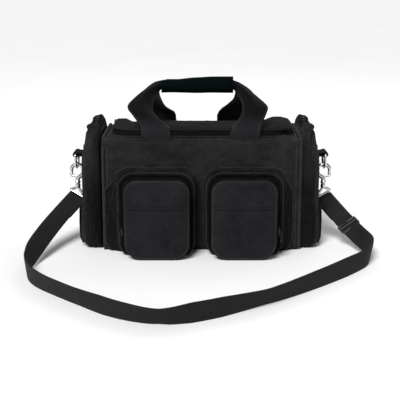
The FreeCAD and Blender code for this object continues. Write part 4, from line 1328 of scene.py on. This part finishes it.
def make_flap(name, side):
    """The pocket's padded front, with two raised seams across it and a cord round its edge."""
    flap_low, flap_high = node_box(name + "_pocket_flap")
    roll_height, roll_reach, groove_width = 3.0, 5.0, 0.55
    box = ((flap_low[0] - 1.6, flap_high[0] + 1.6), (flap_low[2] - 2.6, flap_high[2] + 2.2))
    radii = (21, 21, 17, 17)
    heights = sorted([lerp(*box[1], s) for s in eased(46)]
                     + [z + d for z in SEAM_Z for d in (-0.9, -0.45, 0, 0.45, 0.9)])
    rows = []
    for z in heights:
        x0, x1 = scan_width(z, box, radii)
        row = []
        for s in eased(44):
            x = lerp(x0, x1, s)
            depth = edge_distance(x, z, box, radii)
            roll = roll_height * math.sqrt(max(0.0, 1 - (1 - min(1.0, depth / roll_reach)) ** 2))
            swell = 3.4 * smooth(depth / 34) + 0.5 * ripple(x, z, side * 5, 24) * smooth(depth / 10)
            step = 0.55 * smooth((z - SEAM_Z[0] + 0.3) / 0.6) * smooth(depth / 4)
            groove = sum(g * math.exp(-((z - level) / groove_width) ** 2)
                         for level, g in zip(SEAM_Z, (0.9, 0.5))) * smooth(depth / roll_reach)
            row.append((x, flap_high[1] - 0.9 - roll - swell - step + groove, z))
        rows.append(row)
    back_rows = [[(x, flap_high[1] - 0.1 - 0.3 * (y < flap_high[1] - 2), z) for x, y, z in row]
                 for row in rows]
    flap_body = name + "_flap"
    front = grid_mesh("front", rows, planar=(0, 2), sharp=70)
    rear = grid_mesh("rear", [row[::-1] for row in back_rows], planar=(0, 2))
    flap = add_joined(name + "_flap_cover", [front, rear], flap_body,
                      FLAP_CLOTH, [name + "_pocket_flap"])
    path = pocket_row(pocket_outline(side, 1.0, 1.0), flap_high[1] - 1.6, -1.9, 2.8)
    add_piece(name + "_flap_cord", tube_mesh(name + "_flap_cord", path, 1.6, closed=True, sides=12),
              flap_body, EDGE_CLOTH, [name + "_flap_piping"])
    lines = []
    for z in (SEAM_Z[0] + 1.4, SEAM_Z[1] + 1.3):
        row = min(rows, key=lambda r: abs(r[0][2] - z))
        lines.append(stitch_mesh("seam", [(x, y - 0.05, zz) for x, y, zz in row[3:-3]],
                                 [(0, -1, 0)] * (len(row) - 6)))
    # Painted shade: the flap's stitches use the dark seam thread.
    add_joined(name + "_flap_stitches", lines, flap_body,
               SHADED_SEAM)


for side_name, side_sign in SIDES:
    make_end_pocket(side_name, side_sign)
    make_front_pocket(side_name, side_sign)
    make_flap(side_name, side_sign)

# ---- zip sliders and pulls --------------------------------------------------------------------------


def pebble(low, high, long_axis, thin_axis, profile, rings=12, power=3.0):
    """A smooth block along one axis; profile gives (width, thickness) shares at 0..1."""
    wide_axis = 3 - long_axis - thin_axis
    centre = [(a + b) / 2 for a, b in zip(low, high)]
    half = [(b - a) / 2 for a, b in zip(low, high)]
    rows = []
    for k in range(rings + 1):
        t = 0.5 - 0.5 * math.cos(math.pi * k / rings)
        width, depth = profile(t)
        row = []
        for angle in full_turn(24):
            c, s = math.cos(angle), math.sin(angle)
            point = [0.0, 0.0, 0.0]
            point[long_axis] = lerp(low[long_axis], high[long_axis], t)
            point[wide_axis] = centre[wide_axis] + half[wide_axis] * width * math.copysign(
                abs(c) ** (2 / power), c)
            point[thin_axis] = centre[thin_axis] + half[thin_axis] * depth * math.copysign(
                abs(s) ** (2 / power), s)
            row.append(tuple(point))
        rows.append(row)
    return grid_mesh("pebble", rows, closed=True, caps=(True, True), sharp=60)


def make_zip_pull(prefix, label, long_axis, thin_axis, toward):
    """A slider with its waist and bridge, and a pull tag with a cord end."""
    low, high = node_box(f"{prefix}_{label}_slider")
    body = pebble(low, high, long_axis, thin_axis, lambda t: (0.72 + 0.28 * abs(2 * t - 1) ** 1.5,
                                                              0.55 + 0.1 * bump(t)))
    centre = [(a + b) / 2 for a, b in zip(low, high)]
    span = high[long_axis] - low[long_axis]
    bridge = []
    outer = high[thin_axis] if centre[thin_axis] > 0 or thin_axis == 2 else low[thin_axis]
    arch_height = 0.6 if label == "end" else 0.95
    for t in (-1, -0.7, 0, 0.7, 1):
        point = list(centre)
        point[long_axis] += t * span * 0.3
        point[thin_axis] = lerp(centre[thin_axis], outer, arch_height - 0.5 * abs(t) ** 4)
        bridge.append(point)
    arch = tube_mesh("arch", bridge, 0.75, sides=8)
    add_joined(f"{prefix}_{label}_runner", [body, arch],
               f"{prefix}_{label}_slider_body", LACQUER, [f"{prefix}_{label}_slider"])
    low, high = node_box(f"{prefix}_{label}_pull")

    def tag(t):
        t = t if toward > 0 else 1 - t
        return (0.5 + 0.5 * smooth(t / 0.45) - 0.25 * smooth((t - 0.85) / 0.15),
                0.7 + 0.3 * bump(t) + 0.2 * smooth((t - 0.5) * 4))

    mesh = pebble(low, high, long_axis, thin_axis, tag)
    add_piece(f"{prefix}_{label}_tag", mesh, f"{prefix}_{label}_pull_body", LACQUER,
              [f"{prefix}_{label}_pull"])


for side_name, side_sign in SIDES:
    make_zip_pull(side_name, "main", 1, 0, 1)
    make_zip_pull(side_name, "pocket", 2, 0, -1)
    make_zip_pull(side_name, "end", 1, 2, 1)

# ---- handles ----------------------------------------------------------------------------------------

# Each leg's webbing, from its foot to the grip: outer edge, inner edge, and how far the folded middle
# stands out, in millimetres.
FRONT_LEFT = [((-77, -40.0, 145), (-38, -40.0, 145), 0), ((-78, -43.8, 160), (-39, -43.8, 160), 0.5),
              ((-80, -43.4, 171), (-44, -42.4, 170), 3), ((-90, -40, 185), (-59, -33, 181), 7),
              ((-96, -32, 193), (-65, -21, 190), 10), ((-91, -21, 200), (-64, -9, 198), 11),
              ((-78, -6, 210), (-61, 2, 204), 11), ((-66, 8, 217), (-58, 10, 207), 9),
              ((-55, 15, 221), (-54, 15, 211), 4), ((-46, 16.5, 222), (-46, 16.5, 211), 2)]
FRONT_RIGHT = [((77, -40.0, 145), (38, -40.0, 145), 0), ((78.5, -43.8, 160), (39, -43.8, 160), 0.5),
               ((81, -43.2, 173), (44, -42.4, 170), 3), ((87, -36, 186), (54, -33, 181), 7),
               ((88.5, -28, 193), (57, -21, 190), 10), ((79, -13, 201), (56, -9, 198), 11),
               ((67, 0, 210), (52, 2, 204), 11), ((56, 10, 218), (50, 10, 207), 9),
               ((46, 15, 222), (45, 15, 211), 4), ((36, 16.5, 222), (36, 16.5, 211), 2)]
REAR_LEFT = [((-74, 89.6, 148), (-35, 89.6, 148), 0), ((-75, 89.4, 157), (-35, 89.4, 157), 0.5),
             ((-79, 85, 170), (-38, 82, 169), 2), ((-86, 74, 184), (-42, 70, 174), 4),
             ((-84, 60, 198), (-50, 57, 181), 7), ((-76, 48, 208), (-56, 45, 194), 9),
             ((-66, 38, 216), (-58, 36, 205), 8), ((-55, 30, 221), (-54, 30, 211), 4),
             ((-46, 29, 222), (-46, 29, 211), 2)]
REAR_RIGHT = [((64, 89.6, 148), (25.5, 89.6, 148), 0), ((63, 89.4, 157), (24, 89.4, 157), 0.5),
              ((67, 85, 171), (26, 81, 168), 2), ((74, 74, 185), (31, 72, 176), 4),
              ((76, 60, 197), (38, 60, 183), 7), ((68, 48, 207), (46, 46, 192), 9),
              ((57, 38, 215), (49, 34, 204), 8), ((46, 30, 221), (45, 30, 211), 4),
              ((36, 29, 222), (36, 29, 211), 2)]


def spline_through(values, t):
    """A smooth value at t in 0..1 through evenly spaced ones."""
    at = t * (len(values) - 1)
    i = min(int(at), len(values) - 2)
    f = at - i
    p0, p1 = values[max(i - 1, 0)], values[i]
    p2, p3 = values[i + 1], values[min(i + 2, len(values) - 1)]
    return 0.5 * (2 * p1 + (p2 - p0) * f + (2 * p0 - 5 * p1 + 4 * p2 - p3) * f * f
                  + (3 * p1 - p0 - 3 * p2 + p3) * f ** 3)


def leg_rows(sections, lean, peak=0.58):
    """Rows across a webbing leg whose middle folds out towards `lean`."""
    outer = [Vector(o) for o, _, _ in sections]
    inner = [Vector(i) for _, i, _ in sections]
    folds = [f for _, _, f in sections]
    direction = Vector(lean).normalized()
    rows = []
    for t in spread(0, 1, 48):
        a, b = spline_through(outer, t), spline_through(inner, t)
        fold = max(0.0, spline_through(folds, t))
        row = []
        for q in spread(0, 1, 14):
            side = q / peak if q < peak else (1 - q) / (1 - peak)
            row.append(a.lerp(b, q) + direction * (fold * (0.35 * smooth(side) + 0.65 * side)))
        rows.append(row)
    return rows


def handle_run(run_y):
    """The folded webbing between the legs, inside the grip."""
    half_thick, half_high, middle_z = 1.5, 6, 216.5
    section = [(half_thick * math.cos(a), middle_z + half_high * math.sin(a)) for a in full_turn(12)]
    return grid_mesh("run", [[(x, run_y + dy, z) for dy, z in section] for x in (-47, -20, 10, 38)],
                     closed=True)


def make_handle(name, legs, lean, run_y, material):
    leg_meshes = [grid_mesh("leg", leg_rows(leg, lean)) for leg in legs]
    piece = add_joined(name, leg_meshes + [handle_run(run_y)], None, material,
                       [name.replace("strap", "handle_webbing")])
    thicken(piece, 2.2, 0)
    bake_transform(piece)
    seams = []
    for leg in legs:
        rows = leg_rows(leg, lean)[4:-8]
        for edge, step in ((1, 1), (-2, -1)):
            line = [row[edge] for row in rows]
            outward = [(row[edge + step] - row[edge]).cross(after[edge] - row[edge])
                       for row, after in zip(rows, rows[1:])]
            outward.append(outward[-1])
            outward = [n.normalized() * (1 if n.dot(Vector(lean)) > 0 else -1) for n in outward]
            line = [p + n * 1.15 for p, n in zip(line, outward)]
            seams.append(stitch_mesh("seam", line, outward, 3.4, 2.2, 0.7, 0.4))
    # Painted highlight: a pale cord along each leg's rolled inner edge.
    edges = [tube_mesh("edge", [row[-1] for row in leg_rows(leg, lean)[9:34]], 1.15, sides=8)
             for leg in legs]
    highlight_cord = add_joined(name + "_selvedge", edges, None, EDGE_HIGHLIGHT)
    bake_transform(highlight_cord)
    threads = add_joined(name + "_stitches", seams, None, THREAD)
    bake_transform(threads)


make_handle("front_strap", (FRONT_LEFT, FRONT_RIGHT), (0, -0.8, 0.6), 18.5,
            HANDLE_WEBBING)
# Painted light: the rear legs use the lighter webbing copy.
make_handle("rear_strap", (REAR_LEFT, REAR_RIGHT), (0, 0.5, 0.85), 27.5,
            LIT_REAR_WEBBING)


def make_wrap():
    """The padded wrap round both handle runs, closed along its front by an overlapped edge."""
    (x0, y0, z0), (x1, y1, z1) = node_box("grip_wrap")

    def section(t, inset):
        top = lerp(z1 - 5.0, z1 - 0.6, smooth(t * 1.1))
        low = lerp(z0 + 1.0, z0 + 0.8, t) + 0.7 * ripple(t * 90, 2, 1, 30)
        grow = 0.7 * bump(t) + 0.5 * ripple(t * 98, 5, 9, 20)
        shape = outline((y0 + inset, y1 - inset), (low + inset, top + grow - inset), (8, 8, 6.5, 6.5), 6, 10)
        row = []
        for y, z, ny, nz in shape:
            lap = 1.0 * smooth((y - y0 - 2) / 2) * smooth((z - (low + 13.5)) / 0.8)
            slant = (z - z0) * 0.16 * (1 - smooth(t * 6))
            row.append((lerp(x0, x1 + 0.6, t) + slant, y + ny * lap * 0.4, z + nz * lap * 0.5))
        return row

    rows = [section(0, inset) for inset in (3.6, 3.0, 0.8)]
    rows += [section(t, 0.35) for t in eased(30)]
    rows += [section(1, inset) for inset in (0.9, 3.0, 3.6)]
    wrap = add_piece("grip_cover", grid_mesh("grip_cover", rows, closed=True, sharp=55), "rear_handle",
                     WRAP, ["grip_wrap"])
    line = [(lerp(x0 + 3, x1 - 2, k / 30), y0 - 0.1, lerp(z0 + 12.6, z0 + 14.5, k / 30)) for k in range(31)]
    stitches = stitch_mesh("grip_stitches", line, [(0, -1, 0)] * len(line))
    add_piece("grip_stitches", stitches, "rear_handle", WEBBING)


PATCH_X = 57
PATCH_HALF_WIDTH = 19.5
PATCH_STITCH_LIFT = 0.9


def wall_seam(points, sign):
    """Stitches along points on a wall, lifted onto its patch."""
    lift = Vector((0, sign * PATCH_STITCH_LIFT, 0))
    line = [tuple(Vector(point) + lift) for point in points]
    return stitch_mesh("seam", line, [(0, sign, 0)] * len(line))


def make_patches():
    """Where the handles' webbing is sewn down to the walls."""
    for label, level, sign, shifts, material, slot in (
            ("front", FRONT, -1, (0.0, 0.0), SHELL, "shell_fabric"),
            ("rear", BACK, 1, (0.0, 11.5), WEBBING, "webbing")):
        low, high = node_box(label + "_handle_patches")
        proud = 0.45 if sign < 0 else 1.1
        seed = FRONT_FOLDS if sign < 0 else BACK_FOLDS
        meshes, seams = [], []
        for side, shift in ((-1, shifts[0]), (1, shifts[1])):
            centre = side * PATCH_X
            rows = []
            for z in spread(low[2], high[2] + 2.5, 24):
                slide = -shift * side * smooth((z - low[2]) / (high[2] - low[2]))
                row = []
                for s in eased(12):
                    x = centre + slide + (s * 2 - 1) * PATCH_HALF_WIDTH
                    row.append((x, level + sign * (wall_relief(x, z, seed) + proud * bump(s) ** 0.25), z))
                rows.append(row)
            meshes.append(grid_mesh("patch", rows))
            for s in (1, -2) if sign > 0 else ():
                seams.append(wall_seam([row[s] for row in rows[1:-1]], sign))
            for row in (rows[1], rows[-6]) if sign > 0 else (rows[-4],):
                seams.append(wall_seam(row[1:-1], sign))
        piece = add_joined(label + "_patches", meshes, "bag", material,
                           [label + "_handle_patches"])
        thicken(piece, 0.7 if sign < 0 else 1.4, 0)
        add_joined(label + "_patch_stitches", seams, "bag", THREAD)


make_wrap()
make_patches()
